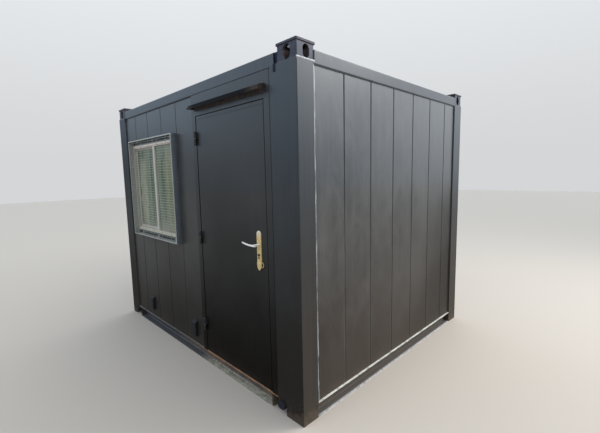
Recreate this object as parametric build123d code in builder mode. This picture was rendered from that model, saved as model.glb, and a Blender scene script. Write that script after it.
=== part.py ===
from build123d import *
import math
import os

os.makedirs("parts", exist_ok=True)

# Portable steel site cabin, millimetres, +Z up.
# The door wall faces -Y. The origin is under the middle of the whole outline, on the ground.

# Overall frame
length = 2991
depth = 2438
frame_depth = 62
wall_recess = 12
fit_gap = 0.3

# Corner posts, folded steel
post_sheet = 4
post_bend = 5
lock_post_width = 250
post_width = 190
front_post_side = 145
rear_post_side = 165
post_plate = 10

# Sockets at the feet of the front posts, with a lashing lug in each
socket_post_side = 86
socket_rail_side = 62
socket_height = 98
socket_radius = 34
socket_end_plate = 6
lug_width = 76
lug_height = 60
lug_rise = 62
lug_proud = 12
lug_side_gap = 1
lug_edge = 5

# Lifting blocks on the posts
block_length = 170
block_width = 150
block_height = 100
block_wall = 14
block_bend = 6
cap_overhang = 6
cap_inner_overhang = 8
cap_thickness = 14
cap_radius = 8
cap_chamfer = 2
end_hole_width = 64
end_hole_height = 88
side_hole_width = 56
side_hole_height = 80
side_hole_shift = 5
top_hole_length = 110
top_hole_width = 60

# Base and top rails
base_height = 107
base_sheet = 7
base_bend = 8
rail_height = 85
rail_sheet = 4
rail_bend = 8
rail_cope = 14
front_rail_gap = 27

# Floor and roof
deck_thickness = 18
joist_width = 50
joist_height = 77
joist_sheet = 4
joist_count = 6
bearer_width = 50
bearer_sheet = 3
bearer_count = 6
ceiling_thickness = 15
roof_sheet = 3
roof_inset = 16
roof_corner_gap = 8
rib_count = 7
rib_width = 70
rib_height = 12
rib_end_inset = 160
rib_taper = 40

# Wall panels with pressed grooves, deeper on the sides and rear than on the door wall
panel_thickness = 50
groove_pitch = 320
groove_width = 14
groove_floor = 5
groove_depth = 8
front_groove_depth = 3.5
first_side_groove = 455
first_front_groove = 1575

# Door leaf and the frame round it
leaf_width = 876
leaf_height = 2020
leaf_thickness = 45
leaf_setback = 2
leaf_line_drop = 26
leaf_line_width = 4
leaf_line_depth = 2
leaf_edge_radius = 2
latch_jamb_width = 62
hinge_jamb_width = 56
head_height = 169
door_side_gap = 8
door_top_gap = 6
door_foot_gap = 5
stop_width = 15
stop_depth = 10
rebate_width = 5
rebate_depth = 9
threshold_plate = 3
threshold_lip = 10

# Rain hood over the door
hood_length = 912
hood_left_overlap = 8
hood_reach = 55
hood_sheet = 3
hood_rise = 49
hood_lip = 28
hood_fall = 17
hood_back_drop = 12
hood_bend = 5
hood_tab = 26
hood_tab_height = 14

# Hinges, set from the foot and the top of the leaf
hinge_radius = 11
hinge_length = 112
hinge_pin_radius = 5.5
hinge_bore_gap = 0.3
hinge_split_gap = 2
hinge_proud = 3
hinge_dome = 5
hinge_tab_depth = 9
hinge_tab_reach = 22
hinge_tab_inset = 9
low_hinge_rise = 243
middle_hinge_rise = 1015
top_hinge_drop = 176

# Lock furniture
lever_height = 1166
lever_backset = 86
plate_width = 47
plate_length = 270
plate_thickness = 6
plate_edge_radius = 2
plate_centre_drop = 36
lever_length = 138
lever_projection = 40
lever_thickness = 15
grip_dip_at = 30
grip_dip = 3.5
grip_dip_height = 14
grip_middle_at = 75
grip_middle_drop = 2
grip_middle_height = 12
grip_middle_thickness = 13
grip_tip_rise = 7.5
grip_tip_height = 10
grip_tip_thickness = 11
grip_edge_flat = 2
neck_radius = 9
boss_radius = 14
boss_height = 4
spindle_side = 8
spindle_gap = 0.5
spindle_bite = 2
cylinder_drop = 72
cylinder_radius = 8.5
cylinder_leg_width = 10
cylinder_leg_drop = 24
cylinder_proud = 4
cover_width = 46
cover_length = 86
cover_thickness = 3
cover_drop = 42
ring_offset = 30
ring_radius = 21
ring_wire = 4

# Window, set from the left post
window_post_gap = 168
window_width = 1034
window_sill = 1070
window_height = 924
window_bar = 30
window_proud = 6
window_frame_depth = 54
window_edge = 3
window_step = 9
window_step_depth = 8
mullion_width = 36
sash_bar = 26
sash_depth = 18
sash_gap = 1
sash_bevel = 5
glass_thickness = 6

# Guard over the window, a box frame with crosswise wires on upright ones
guard_left_margin = 5
guard_right_margin = 6
guard_foot_margin = 47
guard_head_margin = 49
guard_reach = 54
guard_sheet = 4
guard_rim = 14
wire = 3
wire_pitch = 25.4
upright_pitch = 200

# Low vents on the door wall
vent_width = 70
vent_height = 146
vent_reach = 26
vent_sheet = 3
vent_lip = 18
vent_bend = 12
vent_foot = 183
left_vent_inset = 261
right_vent_inset = 156

# Planes and edges that everything else is set from
handle_reach = plate_thickness + lever_projection + lever_thickness / 2 - leaf_setback
front_reach = max(handle_reach, hood_reach)
y_front = -(depth - front_reach) / 2
y_rear = y_front + depth
x_right = length / 2
x_left = -length / 2
wall_front = y_front + wall_recess
wall_rear = y_rear - wall_recess
inner_front = y_front + frame_depth
inner_rear = y_rear - frame_depth
inner_right = x_right - frame_depth
inner_left = x_left + frame_depth
inside_depth = inner_rear - inner_front

opening_width = leaf_width + 2 * door_side_gap
frame_right = x_right - lock_post_width
opening_right = frame_right - latch_jamb_width
opening_left = opening_right - opening_width
frame_left = opening_left - hinge_jamb_width
leaf_left = opening_left + door_side_gap
leaf_right = opening_right - door_side_gap
leaf_foot = base_height + threshold_plate + door_foot_gap
leaf_top = leaf_foot + leaf_height
opening_top = leaf_top + door_top_gap
leaf_front = y_front + leaf_setback
leaf_back = leaf_front + leaf_thickness
stop_front = inner_front - stop_depth
lever_x = leaf_right - lever_backset
hinge_x = opening_left + door_side_gap / 2
hinge_y = y_front - hinge_radius - hinge_proud
hinge_heights = (leaf_foot + low_hinge_rise, leaf_foot + middle_hinge_rise, leaf_top - top_hinge_drop)

deck_top = base_height
rail_bottom = opening_top + head_height
rail_top = rail_bottom + rail_height
post_top = rail_bottom + rail_cope
block_top = post_top + block_height
block_end_x = cap_overhang + block_length
block_end_y = cap_overhang + block_width

window_left = x_left + post_width + window_post_gap
window_right = window_left + window_width
window_head = window_sill + window_height

corners = {
    "front_right": (1, -1, lock_post_width, front_post_side),
    "front_left": (-1, -1, post_width, front_post_side),
    "rear_right": (1, 1, post_width, rear_post_side),
    "rear_left": (-1, 1, post_width, rear_post_side),
}


def save(part, name):
    part.label = name
    export_step(part, f"parts/{name}.step")


def from_corner(side_x, side_y, inward_x, inward_y):
    """A point measured inward from one outer corner of the frame."""
    corner_y = y_rear if side_y > 0 else y_front
    return (side_x * (length / 2 - inward_x), corner_y - side_y * inward_y)


def corner_box(side_x, side_y, x_span, y_span, z_span):
    """An upright block between two distances inward from an outer corner."""
    start = from_corner(side_x, side_y, x_span[0], y_span[0])
    end = from_corner(side_x, side_y, x_span[1], y_span[1])
    size = (abs(end[0] - start[0]), abs(end[1] - start[1]), z_span[1] - z_span[0])
    centre = ((start[0] + end[0]) / 2, (start[1] + end[1]) / 2, z_span[0])
    return Pos(*centre) * Box(*size, align=(Align.CENTER, Align.CENTER, Align.MIN), mode=Mode.PRIVATE)


def span_box(x_span, y_span, z_span):
    """A block between two values on each axis."""
    size = (x_span[1] - x_span[0], y_span[1] - y_span[0], z_span[1] - z_span[0])
    corner = Pos(x_span[0], y_span[0], z_span[0])
    return corner * Box(*size, align=(Align.MIN, Align.MIN, Align.MIN), mode=Mode.PRIVATE)


# Corner posts: folded angle sections with returned lips, closed by a plate under the block
def make_post(name, side_x, side_y, leg_x, leg_y):
    t = post_sheet
    outline = [(0, 0), (leg_x, 0), (leg_x, frame_depth), (frame_depth, frame_depth)]
    outline += [(frame_depth, leg_y), (0, leg_y)]
    hollow = [(t, t), (leg_x - t, t), (leg_x - t, frame_depth - t), (frame_depth - t, frame_depth - t)]
    hollow += [(frame_depth - t, leg_y - t), (t, leg_y - t)]
    folds = [from_corner(side_x, side_y, *p) for p in ((0, 0), (leg_x, 0), (0, leg_y))]
    with BuildPart() as post:
        with BuildSketch() as section:
            Polygon(*[from_corner(side_x, side_y, *p) for p in outline], align=None)
            for fold in folds:
                fillet(section.vertices().sort_by_distance((*fold, 0))[0], radius=post_bend)
        extrude(amount=post_top)
        with BuildSketch():
            Polygon(*[from_corner(side_x, side_y, *p) for p in hollow], align=None)
        extrude(amount=post_top - post_plate, mode=Mode.SUBTRACT)
        add(corner_box(side_x, side_y, (0, block_end_x), (0, block_end_y), (post_top - post_plate, post_top)))
        if side_y < 0:
            socket_x = from_corner(side_x, side_y, leg_x + (socket_rail_side - socket_post_side) / 2, 0)[0]
            with BuildSketch(Plane.XZ.offset(-inner_front + t)):
                with Locations((socket_x, 0)):
                    RectangleRounded(socket_post_side + socket_rail_side, 2 * socket_height, socket_radius)
            extrude(amount=frame_depth, mode=Mode.SUBTRACT)
    save(post.part, f"corner_post_{name}")


# Lifting blocks: open box bodies with oval holes in both outer faces and the cap
def make_lifting_block(name, side_x, side_y):
    body_x = (cap_overhang, block_end_x)
    body_y = (cap_overhang, block_end_y)
    cap_x = block_end_x + cap_inner_overhang
    cap_y = block_end_y + cap_inner_overhang
    middle = from_corner(side_x, side_y, sum(body_x) / 2, sum(body_y) / 2)
    cap_middle = from_corner(side_x, side_y, cap_x / 2, cap_y / 2)
    side_hole_y = from_corner(side_x, side_y, 0, sum(body_y) / 2 + side_hole_shift)[1]
    hole_z = post_top + block_height / 2
    cavity = [(body_x[0] + block_wall, body_x[1] - block_wall), (body_y[0] + block_wall, body_y[1] - block_wall)]
    end_plane = Plane(origin=(middle[0], middle[1], hole_z), x_dir=(1, 0, 0), z_dir=(0, side_y, 0))
    side_plane = Plane(origin=(middle[0], side_hole_y, hole_z), x_dir=(0, 1, 0), z_dir=(side_x, 0, 0))
    with BuildPart() as block:
        add(corner_box(side_x, side_y, body_x, body_y, (post_top, block_top)))
        fillet(block.edges().filter_by(Axis.Z), radius=block_bend)
        add(corner_box(side_x, side_y, cavity[0], cavity[1], (post_top, block_top)), mode=Mode.SUBTRACT)
        with BuildSketch(Plane.XY.offset(block_top)):
            with Locations(cap_middle):
                RectangleRounded(cap_x, cap_y, cap_radius)
        extrude(amount=cap_thickness)
        chamfer(block.faces().sort_by(Axis.Z)[-1].edges(), length=cap_chamfer)
        with BuildSketch(Plane.XY.offset(block_top)):
            with Locations(middle):
                SlotOverall(top_hole_length, top_hole_width)
        extrude(amount=cap_thickness, mode=Mode.SUBTRACT)
        with BuildSketch(end_plane):
            SlotOverall(end_hole_height, end_hole_width, rotation=90)
        extrude(amount=block_width, mode=Mode.SUBTRACT)
        with BuildSketch(side_plane):
            SlotOverall(side_hole_height, side_hole_width, rotation=90)
        extrude(amount=block_length, mode=Mode.SUBTRACT)
    save(block.part, f"lifting_block_{name}")


for corner_name, (sx, sy, leg_x, leg_y) in corners.items():
    make_post(corner_name, sx, sy, leg_x, leg_y)
    make_lifting_block(corner_name, sx, sy)

# Lashing lugs: oval bosses on the back sheets of the front posts, standing out of their sockets
with BuildPart() as lugs:
    for sx, sy, leg_x, leg_y in corners.values():
        if sy < 0:
            lug_x = from_corner(sx, sy, leg_x - lug_side_gap - lug_width / 2, 0)[0]
            with BuildSketch(Plane.XZ.offset(-inner_front + post_sheet)):
                with Locations((lug_x, lug_rise)):
                    SlotOverall(lug_width, lug_height)
            extrude(amount=frame_depth - post_sheet + lug_proud)
    fillet(lugs.faces().sort_by(Axis.Y)[:2].edges(), radius=lug_edge)
save(lugs.part, "lashing_lugs")


# Base rails: rolled channels with their open side outward
def rail_plane(side, setback_x, setback_y, foot):
    """The plane of a rail's end, its x inward and its y up; extrusion follows the rail."""
    if side == "front":
        return Plane((x_left + setback_x, y_front, foot), x_dir=(0, 1, 0), z_dir=(1, 0, 0))
    if side == "rear":
        return Plane((x_right - setback_x, y_rear, foot), x_dir=(0, -1, 0), z_dir=(-1, 0, 0))
    if side == "left":
        return Plane((x_left, y_rear - setback_y, foot), x_dir=(1, 0, 0), z_dir=(0, -1, 0))
    return Plane((x_right, y_front + setback_y, foot), x_dir=(-1, 0, 0), z_dir=(0, 1, 0))


base_runs = {
    "front": (post_width, 0, length - post_width - lock_post_width),
    "rear": (post_width, 0, length - 2 * post_width),
    "left": (0, rear_post_side, depth - front_post_side - rear_post_side),
    "right": (0, front_post_side, depth - front_post_side - rear_post_side),
}
for side, (setback_x, setback_y, run) in base_runs.items():
    with BuildPart() as base_rail:
        with BuildSketch(rail_plane(side, setback_x, setback_y, 0)):
            with BuildLine():
                FilletPolyline(
                    (0, base_height - base_sheet),
                    (frame_depth - base_sheet, base_height - base_sheet),
                    (frame_depth - base_sheet, base_sheet),
                    (0, base_sheet),
                    radius=base_bend,
                )
                Polyline(
                    (0, base_sheet),
                    (0, 0),
                    (frame_depth, 0),
                    (frame_depth, base_height),
                    (0, base_height),
                    (0, base_height - base_sheet),
                )
            make_face()
        extrude(amount=run)
        if side == "front":
            web_front = inner_front - base_sheet
            for post_edge, inward in ((x_left + post_width, 1), (frame_right, -1)):
                pocket = sorted((post_edge, post_edge + inward * socket_rail_side))
                plate_edge = post_edge + inward * (socket_rail_side + socket_end_plate)
                plate = sorted((post_edge + inward * socket_rail_side, plate_edge))
                add(span_box(pocket, (y_front, web_front), (0, base_sheet)), mode=Mode.SUBTRACT)
                add(span_box(plate, (y_front, web_front), (0, base_height - base_sheet)))
    save(base_rail.part, f"base_rail_{side}")

# Top rails: hollow sections between the lifting blocks, coped over the posts
top_runs = {
    "front": (block_end_x + front_rail_gap, length),
    "rear": (block_end_x, length),
    "left": (block_end_y, depth),
    "right": (block_end_y, depth),
}
for side, (setback, outer_run) in top_runs.items():
    with BuildPart() as top_rail:
        with BuildSketch(rail_plane(side, setback, setback, rail_bottom)):
            with Locations((frame_depth / 2, rail_height / 2)):
                RectangleRounded(frame_depth, rail_height, rail_bend)
                RectangleRounded(
                    frame_depth - 2 * rail_sheet,
                    rail_height - 2 * rail_sheet,
                    rail_bend - rail_sheet,
                    mode=Mode.SUBTRACT,
                )
        extrude(amount=outer_run - 2 * setback)
        for sx, sy, leg_x, leg_y in corners.values():
            reach = (leg_x, frame_depth) if side in ("front", "rear") else (frame_depth, leg_y)
            add(corner_box(sx, sy, (0, reach[0]), (0, reach[1]), (0, post_top)), mode=Mode.SUBTRACT)
    save(top_rail.part, f"top_rail_{side}")

# Floor: cross joists between the base rails and a deck on top of them
joist_foot = deck_top - deck_thickness - joist_height
joist_spacing = (inner_right - inner_left) / joist_count
with BuildPart() as joists:
    with BuildSketch(Plane.XZ.offset(-inner_front)):
        with GridLocations(joist_spacing, 1, joist_count, 1):
            with Locations((0, joist_foot + joist_height / 2)):
                Rectangle(joist_width, joist_height)
            with Locations((joist_sheet / 2, joist_foot + joist_height / 2)):
                Rectangle(joist_width - joist_sheet, joist_height - 2 * joist_sheet, mode=Mode.SUBTRACT)
    extrude(amount=-inside_depth)
save(joists.part, "floor_joists")

with BuildPart() as deck:
    with BuildSketch(Plane.XY.offset(deck_top - deck_thickness)):
        with Locations((0, (inner_front + inner_rear) / 2)):
            Rectangle(inner_right - inner_left, inside_depth)
    extrude(amount=deck_thickness)
save(deck.part, "floor_deck")

# Roof: cross bearers between the top rails, ceiling boards below, ribbed sheet above
bearer_foot = rail_bottom + ceiling_thickness
bearer_height = rail_top - bearer_foot
bearer_spacing = (inner_right - inner_left) / bearer_count
with BuildPart() as bearers:
    with BuildSketch(Plane.XZ.offset(-inner_front)):
        with GridLocations(bearer_spacing, 1, bearer_count, 1):
            with Locations((0, bearer_foot + bearer_height / 2)):
                Rectangle(bearer_width, bearer_height)
            with Locations((bearer_sheet / 2, bearer_foot + bearer_height / 2)):
                Rectangle(bearer_width - bearer_sheet, bearer_height - 2 * bearer_sheet, mode=Mode.SUBTRACT)
    extrude(amount=-inside_depth)
save(bearers.part, "roof_bearers")

with BuildPart() as ceiling:
    with BuildSketch(Plane.XY.offset(rail_bottom)):
        with Locations((0, (inner_front + inner_rear) / 2)):
            Rectangle(inner_right - inner_left, inside_depth)
    extrude(amount=ceiling_thickness)
    for sx, sy, leg_x, leg_y in corners.values():
        corner_x = (0, block_end_x + fit_gap)
        corner_y = (0, block_end_y + fit_gap)
        add(corner_box(sx, sy, corner_x, corner_y, (rail_bottom, rail_top)), mode=Mode.SUBTRACT)
save(ceiling.part, "ceiling_boards")

with BuildPart() as roof:
    with BuildSketch(Plane.XY.offset(rail_top)):
        with Locations((0, (y_front + y_rear) / 2)):
            Rectangle(length - 2 * roof_inset, depth - 2 * roof_inset)
    extrude(amount=roof_sheet)
    with BuildSketch(Plane.XY.offset(rail_top + roof_sheet)):
        with Locations((0, (y_front + y_rear) / 2)):
            with GridLocations(groove_pitch, 1, rib_count, 1):
                Rectangle(rib_width, depth - 2 * rib_end_inset)
    extrude(amount=rib_height, taper=rib_taper)
    for sx, sy, leg_x, leg_y in corners.values():
        corner_x = (0, block_end_x + cap_inner_overhang + roof_corner_gap)
        corner_y = (0, block_end_y + cap_inner_overhang + roof_corner_gap)
        add(corner_box(sx, sy, corner_x, corner_y, (rail_top, block_top)), mode=Mode.SUBTRACT)
save(roof.part, "roof_sheet")


# Wall panels: insulated, with pressed upright grooves in the steel face
def make_panel(name, face_start, along, outward, run, foot, head, grooves, sunk=groove_depth):
    """A panel whose face runs from face_start, with grooves sunk at distances along it."""
    outline = Plane(origin=(*face_start, foot), x_dir=(*along, 0), z_dir=(0, 0, 1))
    inward = -1 if Vector(*along, 0).cross(Vector(*outward, 0)).Z > 0 else 1
    groove = [(-groove_width / 2, 0), (groove_width / 2, 0)]
    groove += [(groove_floor / 2, inward * sunk), (-groove_floor / 2, inward * sunk)]
    with BuildPart() as panel:
        with BuildSketch(outline):
            with Locations((run / 2, inward * panel_thickness / 2)):
                Rectangle(run, panel_thickness)
            for distance in grooves:
                Polygon(*[(distance + x, y) for x, y in groove], align=None, mode=Mode.SUBTRACT)
        extrude(amount=head - foot)
    save(panel.part, name)


side_run = depth - front_post_side - rear_post_side
side_count = math.ceil((depth - rear_post_side - first_side_groove) / groove_pitch)
side_grooves = [first_side_groove - front_post_side + n * groove_pitch for n in range(side_count)]
side_start = y_front + front_post_side
make_panel(
    "right_wall", (x_right - wall_recess, side_start), (0, 1), (1, 0), side_run, base_height, rail_bottom, side_grooves
)
make_panel(
    "left_wall", (x_left + wall_recess, side_start), (0, 1), (-1, 0), side_run, base_height, rail_bottom, side_grooves
)
rear_run = length - 2 * post_width
rear_count = int(rear_run / groove_pitch)
rear_edge = (rear_run - (rear_count - 1) * groove_pitch) / 2
rear_grooves = [rear_edge + n * groove_pitch for n in range(rear_count)]
make_panel(
    "rear_wall", (x_left + post_width, wall_rear), (1, 0), (0, 1), rear_run, base_height, rail_bottom, rear_grooves
)

# The door wall is four panels round its window, each with the grooves that fall well inside it
wall_left = x_left + post_width
groove_count = math.ceil((length - first_front_groove) / groove_pitch)
front_grooves = [x_right - first_front_groove - n * groove_pitch for n in range(groove_count)]
front_panels = {
    "front_wall_left": (wall_left, window_left, base_height, rail_bottom),
    "front_wall_right": (window_right, frame_left, base_height, rail_bottom),
    "front_wall_under_window": (window_left, window_right, base_height, window_sill),
    "front_wall_over_window": (window_left, window_right, window_head, rail_bottom),
}
for panel_name, (start_x, end_x, foot, head) in front_panels.items():
    panel_grooves = [x - start_x for x in front_grooves if start_x + groove_width < x < end_x - groove_width]
    make_panel(
        panel_name,
        (start_x, wall_front),
        (1, 0),
        (0, -1),
        end_x - start_x,
        foot,
        head,
        panel_grooves,
        front_groove_depth,
    )

# Door frame: two jambs, a deep head and a threshold, each with a stop behind the leaf.
# A rebate runs up the latch jamb and the head beside the post.
rebate_left = frame_right - rebate_width
rebate_back = y_front + rebate_depth
with BuildPart() as latch_jamb:
    with BuildSketch(Plane.XY.offset(base_height)):
        Polygon(
            (opening_right, y_front),
            (rebate_left, y_front),
            (rebate_left, rebate_back),
            (frame_right, rebate_back),
            (frame_right, inner_front),
            (opening_right - stop_width, inner_front),
            (opening_right - stop_width, stop_front),
            (opening_right, stop_front),
            align=None,
        )
    extrude(amount=opening_top - base_height)
save(latch_jamb.part, "door_jamb_latch_side")

with BuildPart() as hinge_jamb:
    with BuildSketch(Plane.XY.offset(base_height)):
        Polygon(
            (opening_left, y_front),
            (frame_left, y_front),
            (frame_left, inner_front),
            (opening_left + stop_width, inner_front),
            (opening_left + stop_width, stop_front),
            (opening_left, stop_front),
            align=None,
        )
    extrude(amount=opening_top - base_height)
save(hinge_jamb.part, "door_jamb_hinge_side")

stop_left = opening_left + stop_width
stop_right = opening_right - stop_width
with BuildPart() as head:
    with BuildSketch(Plane.XY.offset(opening_top)):
        Polygon(
            (frame_left, y_front),
            (rebate_left, y_front),
            (rebate_left, rebate_back),
            (frame_right, rebate_back),
            (frame_right, inner_front),
            (frame_left, inner_front),
            align=None,
        )
    extrude(amount=head_height)
    add(span_box((stop_left, stop_right), (stop_front, inner_front), (opening_top - stop_width, opening_top)))
save(head.part, "door_head")

with BuildPart() as threshold:
    plate_top = base_height + threshold_plate
    add(span_box((opening_left, opening_right), (y_front, stop_front), (base_height, plate_top)))
    add(span_box((stop_left, stop_right), (stop_front, inner_front), (base_height, plate_top + threshold_lip)))
save(threshold.part, "door_threshold")

# Rain hood: a folded sheet with a back plate on the head, a falling top, a front lip and closed ends
hood_left = opening_left - hood_left_overlap
hood_right = hood_left + hood_length
hood_foot = opening_top + hood_rise
hood_plane = Plane(origin=(hood_right, y_front, hood_foot), x_dir=(0, -1, 0), z_dir=(-1, 0, 0))
hood_back = hood_lip + hood_fall
with BuildPart() as hood:
    with BuildSketch(hood_plane) as hood_outline:
        Polygon(
            (0, -hood_back_drop),
            (0, hood_back),
            (hood_reach, hood_lip),
            (hood_reach, 0),
            (hood_sheet, 0),
            (hood_sheet, -hood_back_drop),
            align=None,
        )
        fold = hood_outline.vertices().sort_by_distance((hood_reach, hood_lip, 0))[0]
        fillet(fold, radius=hood_bend)
    extrude(amount=hood_length)
    with BuildSketch(hood_plane.offset(hood_sheet)) as hood_inside:
        Polygon(
            (hood_sheet, 0),
            (hood_sheet, hood_back - hood_sheet),
            (hood_reach - hood_sheet, hood_lip - hood_sheet),
            (hood_reach - hood_sheet, 0),
            align=None,
        )
        fold = hood_inside.vertices().sort_by_distance((hood_reach - hood_sheet, hood_lip - hood_sheet, 0))[0]
        fillet(fold, radius=hood_bend - hood_sheet)
    extrude(amount=hood_length - 2 * hood_sheet, mode=Mode.SUBTRACT)
    tab_y = y_front - hood_reach
    add(span_box((hood_left - hood_tab, hood_left), (tab_y, tab_y + hood_sheet), (hood_foot, hood_foot + hood_tab_height)))
save(hood.part, "rain_hood")


# Euro-profile opening for the lock cylinder, drawn on an upright plane facing the door
def cylinder_profile(centre_x, grow):
    with Locations((centre_x, lever_height - cylinder_drop)):
        Circle(cylinder_radius + grow)
    with Locations((centre_x, lever_height - cylinder_drop - cylinder_leg_drop / 2)):
        Rectangle(cylinder_leg_width + 2 * grow, cylinder_leg_drop + 2 * grow)


# Door leaf: folded steel skin over a core, bored for the lever spindle and the cylinder
with BuildPart() as leaf:
    add(span_box((leaf_left, leaf_right), (leaf_front, leaf_back), (leaf_foot, leaf_top)))
    fillet(leaf.edges().filter_by(Axis.Z).group_by(Axis.Y)[0], radius=leaf_edge_radius)
    line_z = leaf_top - leaf_line_drop
    line_span = (line_z - leaf_line_width, line_z)
    add(span_box((leaf_left, leaf_right), (leaf_front, leaf_front + leaf_line_depth), line_span), mode=Mode.SUBTRACT)
    with BuildSketch(Plane.XZ.offset(-leaf_front)):
        with Locations((lever_x, lever_height)):
            Circle(neck_radius + spindle_gap)
        cylinder_profile(lever_x, fit_gap)
    extrude(amount=-leaf_thickness, mode=Mode.SUBTRACT)
save(leaf.part, "door_leaf")


# Backplates with rounded ends, a boss for the lever and the cylinder opening
def make_backplate(name, face_y, outward):
    plane = Plane(origin=(0, face_y, 0), x_dir=(outward, 0, 0), z_dir=(0, -outward, 0))
    centre_x = outward * lever_x
    with BuildPart() as plate:
        with BuildSketch(plane):
            with Locations((centre_x, lever_height - plate_centre_drop)):
                SlotOverall(plate_length, plate_width, rotation=90)
        extrude(amount=plate_thickness)
        fillet(plate.faces().sort_by(Axis.Y)[0 if outward > 0 else -1].edges(), radius=plate_edge_radius)
        with BuildSketch(plane.offset(plate_thickness)):
            with Locations((centre_x, lever_height)):
                Circle(boss_radius)
        extrude(amount=boss_height)
        with BuildSketch(plane):
            with Locations((centre_x, lever_height)):
                Circle(neck_radius + spindle_gap)
            cylinder_profile(centre_x, fit_gap)
        extrude(amount=plate_thickness + boss_height, mode=Mode.SUBTRACT)
    save(plate.part, name)


make_backplate("outer_backplate", leaf_front, 1)
make_backplate("inner_backplate", leaf_back, -1)

# Lock cylinder, standing a little proud of both plates
cylinder_reach = plate_thickness + cylinder_proud
with BuildPart() as cylinder:
    with BuildSketch(Plane.XZ.offset(-leaf_front + cylinder_reach)):
        cylinder_profile(lever_x, 0)
    extrude(amount=-leaf_thickness - 2 * cylinder_reach)
save(cylinder.part, "lock_cylinder")

# Swing cover hanging below the cylinder, with its pull ring
cover_face = leaf_front - plate_thickness
cover_z = lever_height - cylinder_drop - cylinder_leg_drop - cover_drop
with BuildPart() as cover:
    with BuildSketch(Plane.XZ.offset(-cover_face)):
        with Locations((lever_x, cover_z)):
            Ellipse(cover_width / 2, cover_length / 2)
        with Locations((lever_x, cover_z + cover_length / 2)):
            Rectangle(cover_width, cylinder_leg_drop, mode=Mode.SUBTRACT)
    extrude(amount=cover_thickness)
    with BuildSketch(Plane.XZ.offset(-cover_face)):
        with Locations((lever_x + ring_offset, cover_z)):
            Circle(ring_radius)
            Circle(ring_radius - ring_wire, mode=Mode.SUBTRACT)
    extrude(amount=cover_thickness)
save(cover.part, "cylinder_cover")


# Lever handles: a round neck and a curved, tapering grip, on one square spindle.
# Each section of a grip is its distance from the spindle, rise, height and thickness.
grip_sections = (
    (-neck_radius, 0, 2 * neck_radius, lever_thickness),
    (grip_dip_at, -grip_dip, grip_dip_height, lever_thickness),
    (grip_middle_at, -grip_middle_drop, grip_middle_height, grip_middle_thickness),
    (lever_length, grip_tip_rise, grip_tip_height, grip_tip_thickness),
)


def lever_half(plate_face, outward):
    """A lever that stands out from plate_face, outward -1 to the front and 1 to the back."""
    grip_y = plate_face + outward * lever_projection
    neck_start = (lever_x, plate_face + outward * spindle_gap, lever_height)
    with BuildPart() as half:
        with BuildSketch(Plane(neck_start, x_dir=(1, 0, 0), z_dir=(0, outward, 0))):
            Circle(neck_radius)
        extrude(amount=lever_projection - spindle_gap)
        for distance, rise, tall, thick in grip_sections:
            section_centre = (lever_x - distance, grip_y, lever_height + rise)
            with BuildSketch(Plane(section_centre, x_dir=(0, 1, 0), z_dir=(-1, 0, 0))):
                RectangleRounded(thick, tall, (min(thick, tall) - grip_edge_flat) / 2)
        loft()
    return half.part


outer_plate_face = leaf_front - plate_thickness
inner_plate_face = leaf_back + plate_thickness
lever_halves = [lever_half(outer_plate_face, -1), lever_half(inner_plate_face, 1)]
with BuildPart() as lever:
    with BuildSketch(Plane.XZ.offset(-outer_plate_face + spindle_bite)):
        with Locations((lever_x, lever_height)):
            Rectangle(spindle_side, spindle_side)
    extrude(amount=outer_plate_face - inner_plate_face - 2 * spindle_bite)
    add(lever_halves)
save(lever.part, "lever_handle")


# Hinges: lift-off barrels, the pin and lower half on the jamb and the upper half on the leaf
half_height = (hinge_length - hinge_split_gap) / 2
pin_reach = half_height - hinge_dome
with BuildPart() as lower_hinges:
    for middle in hinge_heights:
        foot = middle - hinge_length / 2
        with BuildSketch(Plane.XY.offset(foot)):
            with Locations((hinge_x, hinge_y)):
                Circle(hinge_radius)
        extrude(amount=half_height)
        tab_x = (hinge_x - hinge_tab_reach, hinge_x)
        tab_y = (y_front - hinge_tab_depth, y_front)
        add(span_box(tab_x, tab_y, (foot + hinge_tab_inset, foot + half_height)))
        with BuildSketch(Plane.XY.offset(foot + half_height)):
            with Locations((hinge_x, hinge_y)):
                Circle(hinge_pin_radius)
        extrude(amount=pin_reach)
    for middle in hinge_heights:
        foot = middle - hinge_length / 2
        ends = lower_hinges.edges().filter_by(GeomType.CIRCLE).filter_by_position(Axis.Z, foot - 1, foot + 1)
        fillet(ends, radius=hinge_dome)
save(lower_hinges.part, "hinge_lower_halves")

with BuildPart() as upper_hinges:
    for middle in hinge_heights:
        foot = middle - hinge_length / 2 + half_height + hinge_split_gap
        with BuildSketch(Plane.XY.offset(foot)):
            with Locations((hinge_x, hinge_y)):
                Circle(hinge_radius)
        extrude(amount=half_height)
        tab_x = (hinge_x, hinge_x + hinge_tab_reach)
        tab_y = (leaf_front - hinge_tab_depth - leaf_setback, leaf_front)
        add(span_box(tab_x, tab_y, (foot, foot + half_height - hinge_tab_inset)))
    for middle in hinge_heights:
        top = middle + hinge_length / 2
        foot = top - half_height
        ends = upper_hinges.edges().filter_by(GeomType.CIRCLE).filter_by_position(Axis.Z, top - 1, top + 1)
        fillet(ends, radius=hinge_dome)
        with BuildSketch(Plane.XY.offset(foot - hinge_split_gap)):
            with Locations((hinge_x, hinge_y)):
                Circle(hinge_pin_radius + hinge_bore_gap)
        extrude(amount=pin_reach + fit_gap, mode=Mode.SUBTRACT)
save(upper_hinges.part, "hinge_upper_halves")

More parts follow.
